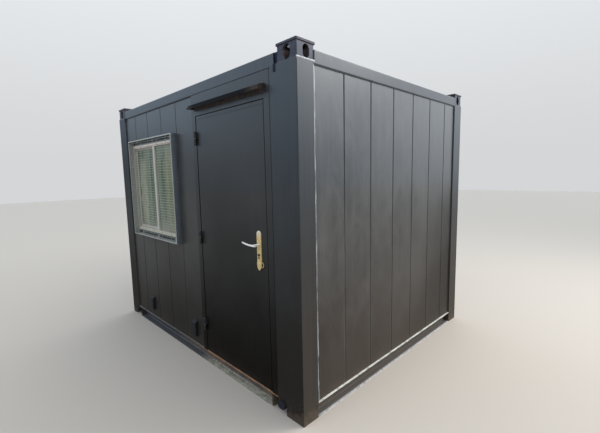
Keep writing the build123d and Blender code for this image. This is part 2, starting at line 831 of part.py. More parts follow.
# Window: a frame with its mullion set back in it, one sliding sash and two panes
window_face = wall_front - window_proud
mullion_x = (window_left + window_right) / 2
light_foot = window_sill + window_bar
light_head = window_head - window_bar
light_middle = (light_foot + light_head) / 2
left_light = (window_left + window_bar, mullion_x - mullion_width / 2)
right_light = (mullion_x + mullion_width / 2, window_right - window_bar)
with BuildPart() as window:
    with BuildSketch(Plane.XZ.offset(-window_face)):
        with Locations((mullion_x, light_middle)):
            Rectangle(window_width, window_height)
        for light in (left_light, right_light):
            with Locations((sum(light) / 2, light_middle)):
                Rectangle(light[1] - light[0], light_head - light_foot, mode=Mode.SUBTRACT)
    extrude(amount=-window_frame_depth)
    chamfer(window.faces().sort_by(Axis.Y)[0].outer_wire().edges(), length=window_edge)
    with BuildSketch(Plane.XZ.offset(-window_face)):
        with Locations((mullion_x, light_middle)):
            Rectangle(right_light[1] - left_light[0] + 2 * window_step, light_head - light_foot + 2 * window_step)
    extrude(amount=-window_step_depth, mode=Mode.SUBTRACT)
save(window.part, "window_frame")

sash_front = window_face + (window_frame_depth - sash_depth) / 2
sash_x = (left_light[0] + sash_gap, left_light[1] - sash_gap)
sash_z = (light_foot, light_head - sash_gap)
sash_width = sash_x[1] - sash_x[0]
sash_height = sash_z[1] - sash_z[0]
with BuildPart() as sash:
    with BuildSketch(Plane.XZ.offset(-sash_front)):
        with Locations((sum(sash_x) / 2, sum(sash_z) / 2)):
            Rectangle(sash_width, sash_height)
            Rectangle(sash_width - 2 * sash_bar, sash_height - 2 * sash_bar, mode=Mode.SUBTRACT)
    extrude(amount=-sash_depth)
    chamfer(sash.faces().sort_by(Axis.Y)[0].inner_wires()[0].edges(), length=sash_bevel)
save(sash.part, "sliding_sash")

with BuildPart() as glass:
    pane_front = window_face + (window_frame_depth - glass_thickness) / 2
    sash_pane_x = (sash_x[0] + sash_bar, sash_x[1] - sash_bar)
    sash_pane_z = (sash_z[0] + sash_bar, sash_z[1] - sash_bar)
    add(span_box(sash_pane_x, (pane_front, pane_front + glass_thickness), sash_pane_z))
    add(span_box(right_light, (pane_front, pane_front + glass_thickness), (light_foot, light_head)))
save(glass.part, "window_glass")

# Window guard: a box frame standing off the wall, its rim turned in over a welded mesh
guard_left = window_left - guard_left_margin
guard_right = window_right + guard_right_margin
guard_foot = window_sill - guard_foot_margin
guard_head = window_head + guard_head_margin
guard_face = wall_front - guard_reach
guard_middle = ((guard_left + guard_right) / 2, (guard_foot + guard_head) / 2)
guard_width = guard_right - guard_left
guard_height = guard_head - guard_foot
mesh_width = guard_width - 2 * guard_sheet
mesh_height = guard_height - 2 * guard_sheet
cross_count = int((guard_height - 2 * guard_rim) / wire_pitch)
upright_count = int((guard_width - 2 * guard_rim) / upright_pitch)
with BuildPart() as guard:
    with BuildSketch(Plane.XZ.offset(-guard_face)):
        with Locations(guard_middle):
            Rectangle(guard_width, guard_height)
            Rectangle(mesh_width, mesh_height, mode=Mode.SUBTRACT)
    extrude(amount=-guard_reach)
    with BuildSketch(Plane.XZ.offset(-guard_face)):
        with Locations(guard_middle):
            Rectangle(guard_width, guard_height)
            Rectangle(guard_width - 2 * guard_rim, guard_height - 2 * guard_rim, mode=Mode.SUBTRACT)
    extrude(amount=-guard_sheet)
    with BuildSketch(Plane.XZ.offset(-guard_face - guard_sheet)):
        with Locations(guard_middle):
            with GridLocations(1, wire_pitch, 1, cross_count):
                Rectangle(mesh_width, wire)
    extrude(amount=-wire)
    with BuildSketch(Plane.XZ.offset(-guard_face - guard_sheet - wire)):
        with Locations(guard_middle):
            with GridLocations(upright_pitch, 1, upright_count, 1):
                Rectangle(wire, mesh_height)
    extrude(amount=-wire)
save(guard.part, "window_guard")


# Low vents: pressed cowls, closed on top and at the sides and open below
vent_shell = [(0, 0), (vent_reach, 0), (vent_reach, vent_height - vent_lip), (0, vent_height)]
inside_reach = vent_reach - vent_sheet
inside_shoulder = vent_height - vent_lip - vent_sheet
vent_inside = [(0, 0), (inside_reach, 0), (inside_reach, inside_shoulder), (0, vent_height - 2 * vent_sheet)]
with BuildPart() as vents:
    for centre in (window_left + left_vent_inset, frame_left - right_vent_inset):
        vent_start = (centre + vent_width / 2, wall_front, vent_foot)
        vent_plane = Plane(vent_start, x_dir=(0, -1, 0), z_dir=(-1, 0, 0))
        with BuildSketch(vent_plane) as outside:
            Polygon(*vent_shell, align=None)
            fillet(outside.vertices().sort_by_distance((*vent_shell[2], 0))[0], radius=vent_bend)
        extrude(amount=vent_width)
        with BuildSketch(vent_plane.offset(vent_sheet)) as inside:
            Polygon(*vent_inside, align=None)
            fillet(inside.vertices().sort_by_distance((*vent_inside[2], 0))[0], radius=vent_bend - vent_sheet)
        extrude(amount=vent_width - 2 * vent_sheet, mode=Mode.SUBTRACT)
save(vents.part, "low_vents")
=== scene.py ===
import math

import bpy
from mathutils import Matrix, Vector


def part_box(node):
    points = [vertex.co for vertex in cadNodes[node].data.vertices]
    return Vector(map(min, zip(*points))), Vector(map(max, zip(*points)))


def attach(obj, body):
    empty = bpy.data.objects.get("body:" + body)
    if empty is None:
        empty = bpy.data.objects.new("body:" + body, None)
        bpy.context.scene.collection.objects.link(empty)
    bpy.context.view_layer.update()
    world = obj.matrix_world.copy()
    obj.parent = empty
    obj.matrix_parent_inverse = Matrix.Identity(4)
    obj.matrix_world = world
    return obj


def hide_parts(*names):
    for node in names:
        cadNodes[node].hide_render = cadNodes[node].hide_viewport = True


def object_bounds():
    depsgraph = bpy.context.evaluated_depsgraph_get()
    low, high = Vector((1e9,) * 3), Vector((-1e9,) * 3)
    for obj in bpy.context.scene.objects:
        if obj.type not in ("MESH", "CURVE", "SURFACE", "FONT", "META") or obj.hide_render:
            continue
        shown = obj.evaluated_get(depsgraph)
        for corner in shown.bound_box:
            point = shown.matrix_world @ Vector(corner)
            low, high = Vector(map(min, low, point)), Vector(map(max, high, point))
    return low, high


# Looks of a portable steel site cabin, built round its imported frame. All sizes are in metres.

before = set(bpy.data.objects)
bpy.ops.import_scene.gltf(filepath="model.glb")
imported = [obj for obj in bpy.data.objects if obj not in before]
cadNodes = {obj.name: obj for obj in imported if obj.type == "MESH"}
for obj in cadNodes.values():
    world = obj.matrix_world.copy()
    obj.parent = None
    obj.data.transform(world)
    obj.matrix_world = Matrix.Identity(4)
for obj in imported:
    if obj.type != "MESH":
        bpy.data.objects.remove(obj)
cadLow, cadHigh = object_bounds()
print("frame loaded:", len(cadNodes), "nodes")

nearPostLow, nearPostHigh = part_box("corner_post_front_right")
farPostLow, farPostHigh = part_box("corner_post_front_left")
rearPostLow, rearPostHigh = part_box("corner_post_rear_right")
rightWallLow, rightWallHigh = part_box("right_wall")
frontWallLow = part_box("front_wall_right")[0]
leafLow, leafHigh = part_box("door_leaf")
frameLow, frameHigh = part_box("window_frame")
paneLow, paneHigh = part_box("window_glass")
guardLow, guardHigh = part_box("window_guard")
deckLow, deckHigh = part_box("floor_deck")
hoodLow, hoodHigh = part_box("rain_hood")
plateLow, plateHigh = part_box("outer_backplate")
xRight = nearPostHigh.x
xLeft = farPostLow.x
yFront = nearPostLow.y
yRear = rearPostHigh.y
postTop = nearPostHigh.z


# Selecting, shaping and finishing, as by hand


def deselectAll():
    for thing in bpy.context.selected_objects:
        thing.select_set(False)
    bpy.context.view_layer.objects.active = None


def pick(thing):
    deselectAll()
    thing.select_set(True)
    bpy.context.view_layer.objects.active = thing


def addShape(kind, place, scale=(1, 1, 1), turn=(0, 0, 0), **settings):
    deselectAll()
    getattr(bpy.ops.mesh, "primitive_" + kind + "_add")(**settings)
    thing = bpy.context.object
    thing.location = place
    thing.rotation_euler = turn
    thing.scale = scale
    pick(thing)
    bpy.ops.object.transform_apply(location=True, rotation=True, scale=True)
    return thing


def block(low, high):
    middle = [(a + b) / 2 for a, b in zip(low, high)]
    return addShape("cube", middle, [b - a for a, b in zip(low, high)], size=1)


# Both ends of a size along one axis, from where it is measured
def span(base, shifts):
    return [base + shift for shift in shifts]


def roundedBlock(low, high, edge):
    thing = block(low, high)
    roundEdges(thing, edge)
    return thing


def bar(start, end, radius, sides=12):
    run = Vector(end) - Vector(start)
    middle = (Vector(start) + Vector(end)) / 2
    turn = run.to_track_quat("Z", "Y").to_euler()
    return addShape("cylinder", middle, turn=turn, vertices=sides, radius=radius, depth=run.length)


def ring(middle, steps, major, minor, **settings):
    sizes = {"major_segments": steps, "minor_segments": 8, "major_radius": major, "minor_radius": minor}
    thing = addShape("torus", middle, **settings, **sizes)
    bpy.ops.object.shade_smooth()
    return thing


def useModifier(thing, kind, **settings):
    pick(thing)
    modifier = thing.modifiers.new(kind.lower(), kind)
    for name, value in settings.items():
        setattr(modifier, name, value)
    bpy.ops.object.modifier_apply(modifier=modifier.name)


def reshape(thing, kind, test, operator, **settings):
    pick(thing)
    bpy.ops.object.mode_set(mode="EDIT")
    bpy.ops.mesh.select_mode(type=kind)
    bpy.ops.mesh.select_all(action="DESELECT")
    bpy.ops.object.mode_set(mode="OBJECT")
    if kind == "FACE":
        for face in thing.data.polygons:
            face.select = bool(test(face.center, face.normal))
    else:
        spots = thing.data.vertices
        for edge in thing.data.edges:
            first, second = (spots[corner].co for corner in edge.vertices)
            edge.select = bool(test((second - first).normalized()))
    bpy.ops.object.mode_set(mode="EDIT")
    operator(**settings)
    bpy.ops.object.mode_set(mode="OBJECT")


def roundEdges(thing, width):
    useModifier(thing, "BEVEL", width=width, segments=2, limit_method="ANGLE", angle_limit=math.radians(35))
    bpy.ops.object.shade_smooth_by_angle(angle=math.radians(40))


def roughen(thing, size, strength):
    clouds = bpy.data.textures.new("clouds", "CLOUDS")
    clouds.noise_scale = size
    clouds.noise_depth = 2
    useModifier(thing, "DISPLACE", texture=clouds, strength=strength, texture_coords="LOCAL", mid_level=0.5)


def joinPieces(things):
    deselectAll()
    for thing in things:
        thing.select_set(True)
    bpy.context.view_layer.objects.active = things[0]
    bpy.ops.object.join()
    return bpy.context.view_layer.objects.active


def copyOf(thing, offset):
    twin = thing.copy()
    twin.data = thing.data.copy()
    bpy.context.scene.collection.objects.link(twin)
    twin.data.transform(Matrix.Translation(offset))
    return twin


def finish(thing, name, body, material):
    thing.name = name
    thing.data.name = name
    thing.data.materials.clear()
    thing.data.materials.append(material)
    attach(thing, body)
    deselectAll()
    return thing


# Building node trees. The helpers find the tree from the sockets that they are given.


def feed(socket, value):
    if isinstance(value, bpy.types.NodeSocket):
        socket.id_data.links.new(value, socket)
    elif socket.type == "RGBA":
        socket.default_value = (*value, 1)
    else:
        socket.default_value = value


def put(tree, kind, inputs=None, **settings):
    node = tree.nodes.new("ShaderNode" + kind)
    for name, value in settings.items():
        setattr(node, name, value)
    for name, value in (inputs or {}).items():
        feed(node.inputs[name], value)
    return node


def treeOf(*values):
    return next(value.id_data for value in values if isinstance(value, bpy.types.NodeSocket))


def blankMaterial(name):
    material = bpy.data.materials.new(name)
    material.use_nodes = True
    tree = material.node_tree
    tree.nodes.clear()
    shader = put(tree, "BsdfPrincipled")
    put(tree, "OutputMaterial", {"Surface": shader.outputs["BSDF"]})
    return material, tree, shader


def dress(shader, colour, roughness, heights, others=None):
    inputs = {"Base Color": colour, "Roughness": roughness, **(others or {})}
    for height, strength, distance in heights:
        values = {"Height": height, "Strength": strength, "Distance": distance}
        if "Normal" in inputs:
            values["Normal"] = inputs["Normal"]
        inputs["Normal"] = put(shader.id_data, "Bump", values).outputs["Normal"]
    for name, value in inputs.items():
        feed(shader.inputs[name], value)


def objectCoords(tree):
    return put(tree, "TexCoord").outputs["Object"]


def place(tree):
    return put(tree, "SeparateXYZ", {0: objectCoords(tree)}).outputs


def facing(tree):
    return put(tree, "SeparateXYZ", {0: put(tree, "NewGeometry").outputs["Normal"]}).outputs


def sums(operation, first, second=0, third=0):
    inputs = {0: first, 1: second, 2: third}
    return put(treeOf(first, second, third), "Math", inputs, operation=operation).outputs["Value"]


def chained(operation, values):
    result = values[0]
    for value in values[1:]:
        result = sums(operation, result, value)
    return result


def times(*values):
    return chained("MULTIPLY", values)


def most(*values):
    return chained("MAXIMUM", values)


def mixed(factor, first, second, blend="MIX"):
    inputs = {0: factor, 6: first, 7: second}
    node = put(treeOf(factor, first, second), "Mix", inputs, data_type="RGBA", blend_type=blend)
    return node.outputs[2]


def ranged(value, low, high, toLow=0, toHigh=1, smooth=False):
    values = {"Value": value, "From Min": low, "From Max": high, "To Min": toLow, "To Max": toHigh}
    kind = "SMOOTHSTEP" if smooth else "LINEAR"
    return put(value.id_data, "MapRange", values, interpolation_type=kind).outputs["Result"]


def within(value, low, high, edge=0.0005):
    over = ranged(value, low - edge, low + edge)
    return times(over, ranged(value, high - edge, high + edge, 1, 0))


def near(value, middle, reach, soft=1.0):
    away = sums("ABSOLUTE", sums("SUBTRACT", value, middle))
    return ranged(away, reach * (1 - soft), reach, 1, 0, smooth=True)


# Noise of one scale, or stretched by a scale for each axis
def noiseOf(tree, scale, detail, roughness, shift=(0, 0, 0), distortion=0):
    vector = objectCoords(tree)
    values = {"Scale": scale, "Detail": detail, "Roughness": roughness, "Distortion": distortion}
    if isinstance(scale, tuple) or any(shift):
        stretch = (1, 1, 1)
        if isinstance(scale, tuple):
            stretch, values["Scale"] = scale, 1
        mapping = put(tree, "Mapping", {"Vector": vector, "Scale": stretch, "Location": shift})
        vector = mapping.outputs["Vector"]
    return put(tree, "TexNoise", {"Vector": vector, **values}).outputs["Fac"]


def patches(tree, scale, detail, roughness, low, high, toLow=0, toHigh=1, shift=(0, 0, 0), smooth=False):
    return ranged(noiseOf(tree, scale, detail, roughness, shift), low, high, toLow, toHigh, smooth)


# Inside faces of the shell: everything that lies on or within this box

roomEdge = 0.0008
roomLow = (deckLow.x - roomEdge, deckLow.y - roomEdge, deckHigh.z - roomEdge)
roomHigh = (deckHigh.x + roomEdge, deckHigh.y + roomEdge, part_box("ceiling_boards")[1].z)


def insideRoom(tree):
    return times(*(within(*sides) for sides in zip(place(tree), roomLow, roomHigh)))


# Painted steel: a dark satin coat with haze, runs, dust, mud splashes, scratches and chips, with painted
# light and shade in its colour by height and facing

rustShades = ((0.045, 0.018, 0.010), (0.22, 0.085, 0.035))


def rustColour(tree, scale=60):
    return mixed(patches(tree, scale, 5, 0.7, 0.35, 0.7), *rustShades)


paintUsual = {
    "colour": (0.016, 0.019, 0.023), "hazeColour": (0.080, 0.088, 0.096), "haze": 0.3, "swirl": 0,
    "tone": (0.016, 0.014, 0.012), "toneTop": 1.7, "toneLoss": 0.5, "rearShadeRise": 0, "farDull": 1,
    "shade": (0.004, 0.004, 0.004), "frontPaintedShade": 0, "rearPaintedShade": 0,
    "groundReflection": 0, "groundReflectionTint": (1.07, 0.96, 0.86), "groundReflectionLine": (1.49, 1.60),
    "underPaintedLight": 0, "underLightColours": ((0.050, 0.066, 0.090), (0.20, 0.23, 0.27)), "underLightBand": (2.28, 2.29),
    "dust": (0.21, 0.18, 0.145), "film": 0.05, "filmTop": 0.6, "specks": 0.22,
    "ledge": 0.7, "ledgeDust": (0.30, 0.27, 0.24),
    "mud": 0.2, "mudHeight": 0.10, "mudWest": -9, "muds": ((0.10, 0.070, 0.050), (0.24, 0.175, 0.125)),
    "scratch": 0.3, "scratchColour": (0.24, 0.235, 0.23), "chips": 0.02,
    "browned": 0, "endBrown": (0.090, 0.068, 0.056), "underRustAndLight": (0.115, 0.092, 0.094),
    "grooveDustAndLight": 0, "grooveDustAndLightTone": (0.26, 0.245, 0.23), "flanges": False,
    "lining": None, "liningGrime": (0.20, 0.17, 0.14),
    "roughness": 0.36, "gloss": 0.4, "lowGloss": 0.2, "coat": 0.05, "coatRoughness": 0.2, "waviness": 0.2,
}

# Base rails: the edges of the flanges are worn bare, and on the right side their pale edges are also a
# painted highlight; the web between them is dirty
flangeLook = {
    "foot": 0.012, "head": 0.096, "sideBareAndHighlight": (0.84, 0.81, 0.72), "sideFootBareAndHighlight": (0.62, 0.60, 0.63),
    "sideWeb": (0.085, 0.068, 0.056), "rust": (0.46, 0.22, 0.10), "doorFoot": (0.40, 0.37, 0.29),
    "frontWebs": ((0.030, 0.033, 0.041), (0.052, 0.042, 0.028)), "doorway": (0.10, 0.40),
    "treads": ((0.090, 0.074, 0.060), (0.052, 0.056, 0.065)), "treadBare": (0.48, 0.44, 0.34),
}


def flangeWear(tree, colour):
    look = flangeLook
    x, y, z = place(tree)
    faceX, faceY, faceZ = facing(tree)
    ragged = patches(tree, 35, 5, 0.7, 0.3, 0.55)
    # Right side: the pale flange edges are bare wear and a painted highlight.
    side = ranged(x, xRight - 0.015, xRight - 0.010)
    upper = ranged(z, look["head"], look["head"] + 0.003)
    colour = mixed(times(side, upper, ragged, 0.95), colour, look["sideBareAndHighlight"])
    lower = ranged(z, look["foot"], look["foot"] - 0.004)
    colour = mixed(times(side, lower, ragged, 0.95), colour, look["sideFootBareAndHighlight"])
    web = times(ranged(x, xRight - 0.050, xRight - 0.046, 1, 0), ranged(x, xRight - 0.065, xRight - 0.060))
    colour = mixed(times(web, ranged(faceX, 0.4, 0.8), 0.7), colour, look["sideWeb"])
    front = ranged(y, yFront + 0.008, yFront + 0.004)
    doorway = ranged(x, *look["doorway"], smooth=True)
    colour = mixed(times(front, upper, doorway, ragged, 0.9), colour, look["rust"])
    colour = mixed(times(front, lower, doorway, ragged, 0.7), colour, look["doorFoot"])
    frontWeb = times(ranged(y, yFront + 0.046, yFront + 0.050, 1, 0), ranged(faceY, -0.4, -0.8))
    frontWeb = times(frontWeb, ranged(z, 0.010, 0.014), ranged(z, 0.094, 0.098, 1, 0))
    webShare = times(frontWeb, ranged(doorway, 0, 1, 0.4, 0.85))
    colour = mixed(webShare, colour, mixed(doorway, *look["frontWebs"]))
    treads = times(ranged(faceZ, 0.4, 0.8), lower, ranged(side, 0, 1, 1, 0.25))
    onFront = ranged(x, xRight - 0.075, xRight - 0.070, 1, 0)
    colour = mixed(times(treads, 0.85), colour, mixed(onFront, *look["treads"]))
    return mixed(times(treads, onFront, doorway, ragged, 0.9), colour, look["treadBare"])


def paintMaterial(name, own):
    look = {**paintUsual, **own}
    material, tree, shader = blankMaterial(name)
    x, y, z = place(tree)
    faceY, faceZ = facing(tree)[1:]

    clouds = patches(tree, 1.4, 6, 0.6, 0.32, 0.72)
    runs = patches(tree, (26, 26, 0.6), 4, 0.6, 0.42, 0.75)
    strokes = patches(tree, (150, 150, 2.5), 3, 0.5, 0.40, 0.70)
    haze = sums("MULTIPLY_ADD", clouds, 0.45, times(runs, 0.35))
    haze = sums("MULTIPLY_ADD", strokes, 0.20, haze)
    if look["swirl"]:
        swirls = noiseOf(tree, (5.78, 5.78, 2.72), 6, 0.62, distortion=1.3)
        haze = sums("MULTIPLY_ADD", ranged(swirls, 0.40, 0.64), look["swirl"], haze)
    colour = mixed(times(haze, look["haze"]), look["colour"], look["hazeColour"])
    # Height gradient, partly painted light: low down the colour goes towards the tone, a painted warm ground
    # light and shade, and high up the hazed coat shows as a painted sky sheen. Towards the rear the line
    # rises, a painted shade.
    level = sums("ADD", z, ranged(clouds, 0, 1, -0.15, 0.15))
    level = sums("ADD", level, ranged(y, 0.1, 1.1, 0, -look["rearShadeRise"], smooth=True))
    upper = ranged(level, 0.15, look["toneTop"], smooth=True)
    lowColour = mixed(look["toneLoss"], colour, look["tone"])
    # Painted shade: on faces turned to the front the low colour is darkened towards the shade colour.
    frontPaintedShade = ranged(faceY, -0.5, -0.9, 0, look["frontPaintedShade"])
    # Painted shade: the low colour is darkened towards the rear.
    rearPaintedShade = ranged(y, 0.1, 1.1, 0, look["rearPaintedShade"])
    lowColour = mixed(most(frontPaintedShade, rearPaintedShade), lowColour, look["shade"])
    colour = mixed(upper, lowColour, colour)
    # Painted reflection of the ground: a warm tint below a wavy line at about 1.5 m.
    if look["groundReflection"]:
        line = sums("ADD", z, patches(tree, 2.5, 4, 0.6, 0, 1, -0.08, 0.08))
        below = ranged(line, *look["groundReflectionLine"], 1, 0, smooth=True)
        colour = mixed(times(below, look["groundReflection"]), colour, look["groundReflectionTint"], "MULTIPLY")
    # Painted light: the undersides of the top rails are made paler, most along the sides, as if lit from
    # below.
    if look["underPaintedLight"]:
        under = times(ranged(faceZ, -0.5, -0.9), ranged(z, *look["underLightBand"]))
        alongSide = ranged(sums("ABSOLUTE", x), xRight - 0.08, xRight - 0.07)
        colour = mixed(times(under, look["underPaintedLight"]), colour, mixed(alongSide, *look["underLightColours"]))

    low = ranged(z, 0.0, look["filmTop"], 1, 0, smooth=True)
    film = times(low, patches(tree, 5, 6, 0.65, 0.25, 0.75, 0.4, 1), look["film"])
    colour = mixed(film, colour, look["dust"])
    specks = patches(tree, 95, 3, 0.75, 0.66, 0.80)
    colour = mixed(times(specks, look["specks"]), colour, look["dust"])

    scrapes = patches(tree, (5, 5, 160), 3, 0.6, 0.70, 0.76)
    scrapes = times(scrapes, patches(tree, 2.3, 3, 0.5, 0.56, 0.68))
    uprights = patches(tree, (190, 190, 4), 3, 0.6, 0.71, 0.77, shift=(3, 1, 2))
    uprights = times(uprights, patches(tree, 2.9, 3, 0.5, 0.55, 0.7, shift=(9, 4, 2)))
    scratches = times(most(scrapes, uprights), look["scratch"])
    colour = mixed(scratches, colour, look["scratchColour"])

    edge = sums("ADD", z, patches(tree, 11, 5, 0.7, 0.2, 0.8, -0.10, 0.10))
    splash = ranged(edge, 0.02, look["mudHeight"], 1, 0, smooth=True)
    flecks = patches(tree, 70, 4, 0.7, 0.45, 0.62)
    flecks = times(flecks, ranged(z, 0.0, look["mudHeight"] * 2.2, 0.55, 0))
    mud = times(most(splash, flecks), look["mud"])
    mud = times(mud, ranged(x, look["mudWest"] - 0.5, look["mudWest"] + 0.3, 0.12, 1, smooth=True))
    colour = mixed(mud, colour, mixed(noiseOf(tree, 30, 4, 0.6), *look["muds"]))

    settled = patches(tree, 14, 5, 0.65, 0.30, 0.62, 0.25, 0.95)
    settled = times(ranged(faceZ, 0.4, 0.9), settled, look["ledge"])
    colour = mixed(settled, colour, look["ledgeDust"])

    chips = patches(tree, 34, 6, 0.72, 0.69 - look["chips"], 0.72 - look["chips"])
    chips = times(chips, patches(tree, 3.1, 3, 0.5, 0.48, 0.62, shift=(5, 2, 7)))
    colour = mixed(chips, colour, rustColour(tree))

    if look["browned"]:
        nearEnd = ranged(x, hoodHigh.x - 0.16, hoodHigh.x - 0.02)
        ends = most(nearEnd, ranged(x, hoodLow.x + 0.12, hoodLow.x + 0.03, 0, 0.6))
        patchy = patches(tree, 22, 5, 0.7, 0.3, 0.6, 0.35, 1)
        colour = mixed(times(ends, patchy, look["browned"]), colour, look["endBrown"])
        # Painted light on the hood: its underside and back plate are made a paler rust brown.
        backPlate = times(ranged(y, yFront - 0.010, yFront - 0.006), ranged(faceY, -0.4, -0.8))
        under = most(ranged(faceZ, -0.3, -0.8), backPlate)
        colour = mixed(times(under, patchy, 0.9), colour, look["underRustAndLight"])
    # Grooves of the walls: dust, and a paler tone as painted light against the grooves' shade.
    if look["grooveDustAndLight"]:
        wall, outward = rightWallHigh.x, sums("ABSOLUTE", x)
        sunk = times(ranged(outward, wall - 0.002, wall - 0.006), ranged(outward, wall - 0.012, wall - 0.010))
        wall = frontWallLow.y
        sunkFront = times(ranged(y, wall + 0.002, wall + 0.006), ranged(y, wall + 0.010, wall + 0.012, 1, 0))
        dusty = times(most(sunk, sunkFront), ranged(z, 0.7, 1.7, look["grooveDustAndLight"], 0.45, smooth=True))
        dusty = times(dusty, patches(tree, (40, 40, 4), 4, 0.6, 0.3, 0.6, 0.6, 1))
        colour = mixed(dusty, colour, look["grooveDustAndLightTone"])
    if look["flanges"]:
        colour = flangeWear(tree, colour)

    rough = sums("MULTIPLY_ADD", most(mud, settled, film, chips), 0.40, look["roughness"])
    rough = sums("MULTIPLY_ADD", haze, 0.16, rough)
    if look["lining"]:
        inside = insideRoom(tree)
        soiled = [channel * 0.86 for channel in look["lining"]]
        board = mixed(patches(tree, 3, 5, 0.6, 0.3, 0.7), look["lining"], soiled)
        grime = ranged(edge, 0.10, 0.42, 0.5, 0, smooth=True)
        colour = mixed(inside, colour, mixed(grime, board, look["liningGrime"]))
        rough = most(rough, times(inside, 0.5))
    gloss = ranged(upper, 0, 1, look["lowGloss"], look["gloss"])
    others = {
        "Specular IOR Level": times(gloss, ranged(x, xLeft + 0.195, xLeft + 0.185, 1, look["farDull"])),
        "Coat Weight": ranged(upper, 0, 1, look["coat"] * 0.2, look["coat"]),
        "Coat Roughness": look["coatRoughness"],
    }
    waves = (noiseOf(tree, (2.2, 2.2, 0.9), 2, 0.4), look["waviness"], 0.02)
    peel = (noiseOf(tree, 240, 2, 0.5), 0.08, 0.0008)
    heights = [waves, peel, (mud, 0.35, 0.002), (chips, -0.4, 0.0006)]
    dress(shader, colour, rough, heights, others)
    return material


frameLook = {
    "colour": (0.015, 0.019, 0.024), "hazeColour": (0.074, 0.098, 0.122),
    "tone": (0.070, 0.052, 0.036), "toneTop": 1.9, "frontPaintedShade": 0.70, "underPaintedLight": 0.8, "groundReflection": 0.8,
    "mud": 0.35, "film": 0.03, "gloss": 0.46, "lowGloss": 0.10, "farDull": 0.35,
}
wallLook = {
    "colour": (0.024, 0.026, 0.029), "hazeColour": (0.130, 0.132, 0.136), "haze": 0.40, "swirl": 0.5,
    "groundReflection": 1.0, "tone": (0.040, 0.029, 0.021), "toneTop": 1.3, "toneLoss": 0.62, "rearShadeRise": 0.36,
    "rearPaintedShade": 0.85, "film": 0.06, "filmTop": 1.0, "mudHeight": 0.22, "scratch": 0.25, "chips": 0.0,
    "roughness": 0.32, "gloss": 0.50, "lowGloss": 0.18, "coat": 0.25, "waviness": 0.30,
    "lining": (0.62, 0.60, 0.55), "grooveDustAndLight": 0.95,
}
hoodLook = {
    "colour": (0.006, 0.006, 0.008), "hazeColour": (0.019, 0.016, 0.018), "toneLoss": 0.0,
    "dust": (0.07, 0.058, 0.050), "film": 0.02, "ledge": 0.25, "ledgeDust": (0.045, 0.038, 0.034),
    "mud": 0.08, "scratch": 0.05, "chips": 0.055, "roughness": 0.48, "gloss": 0.04, "lowGloss": 0.04,
    "coat": 0.0, "waviness": 0.1,
}
paintLooks = {
    "frame_paint": frameLook,
    "top_rail_paint": {**frameLook, "haze": 0.5, "hazeColour": (0.105, 0.122, 0.140), "farDull": 0.8},
    "base_rail_paint": {
        "colour": (0.022, 0.027, 0.034), "hazeColour": (0.10, 0.11, 0.12), "haze": 0.45, "toneLoss": 0.1,
        "dust": (0.24, 0.20, 0.16), "film": 0.06, "ledge": 0.85, "mud": 0.85, "mudHeight": 0.085,
        "mudWest": -0.1, "scratch": 0.6, "chips": 0.05, "lowGloss": 0.4, "waviness": 0.15, "flanges": True,
    },
    "wall_paint": wallLook,
    # Front wall: a copy of the wall paint, darker low down and on the front, as painted shade.
    "door_wall_paint": {
        **wallLook, "haze": 0.36, "hazeColour": (0.116, 0.134, 0.138), "grooveDustAndLightTone": (0.085, 0.092, 0.100),
        "swirl": 0.2, "gloss": 0.45, "coat": 0.12, "tone": (0.018, 0.016, 0.014), "toneTop": 1.7,
        "frontPaintedShade": 0.2, "lowGloss": 0.07, "film": 0.01, "waviness": 0.2,
    },
    "door_paint": {
        "colour": (0.013, 0.014, 0.016), "hazeColour": (0.070, 0.074, 0.078), "tone": (0.008, 0.007, 0.006),
        "toneTop": 1.9, "toneLoss": 0.95, "frontPaintedShade": 0.75, "groundReflection": 0.9, "swirl": 0.15, "film": 0.0,
        "mud": 0.12, "mudHeight": 0.24, "chips": 0.0, "gloss": 0.46, "lowGloss": 0.05, "coat": 0.1,
        "waviness": 0.16, "lining": (0.045, 0.047, 0.050),
    },
    "hood_paint": {**hoodLook, "browned": 0.75},
    "vent_paint": {**hoodLook, "colour": (0.011, 0.012, 0.014), "gloss": 0.2, "lowGloss": 0.2, "chips": 0.02},
    "lug_paint": {**hoodLook, "colour": (0.020, 0.024, 0.030), "mud": 0.3, "mudHeight": 0.06},
    "navy_paint": {**hoodLook, "colour": (0.018, 0.020, 0.036), "hazeColour": (0.05, 0.055, 0.09)},
    "hinge_black": {
        "colour": (0.010, 0.010, 0.012), "hazeColour": (0.045, 0.045, 0.048), "toneLoss": 0.0,
        "ledge": 0.4, "ledgeDust": (0.12, 0.10, 0.08), "mud": 0.0, "chips": 0.03, "roughness": 0.35,
        "gloss": 0.45, "lowGloss": 0.4, "coat": 0.2, "waviness": 0.0,
    },
    "roof_paint": {
        "colour": (0.045, 0.048, 0.052), "hazeColour": (0.16, 0.16, 0.16), "haze": 0.6, "toneLoss": 0.0,
        "film": 0.0, "ledge": 0.55, "ledgeDust": (0.20, 0.185, 0.15), "mud": 0.0, "chips": 0.03,
        "roughness": 0.5, "coat": 0.0,
    },
    "primer_paint": {
        "colour": (0.13, 0.045, 0.028), "hazeColour": (0.20, 0.10, 0.07), "haze": 0.6, "toneLoss": 0.0,
        "film": 0.2, "ledge": 0.6, "mud": 0.35, "chips": 0.05, "roughness": 0.6, "gloss": 0.3,
        "coat": 0.0, "waviness": 0.05,
    },
}
paints = {name: paintMaterial(name, look) for name, look in paintLooks.items()}


# Lifting blocks: a worn coat with brown rust along the cap, at the foot and inside the holes

blockLook = {
    "coat": (0.014, 0.016, 0.031), "worn": (0.038, 0.046, 0.078), "cap": 0.012, "rustReach": 0.010,
    "rusts": ((0.050, 0.027, 0.021), (0.17, 0.100, 0.080)), "wall": (0.009, 0.020),
}


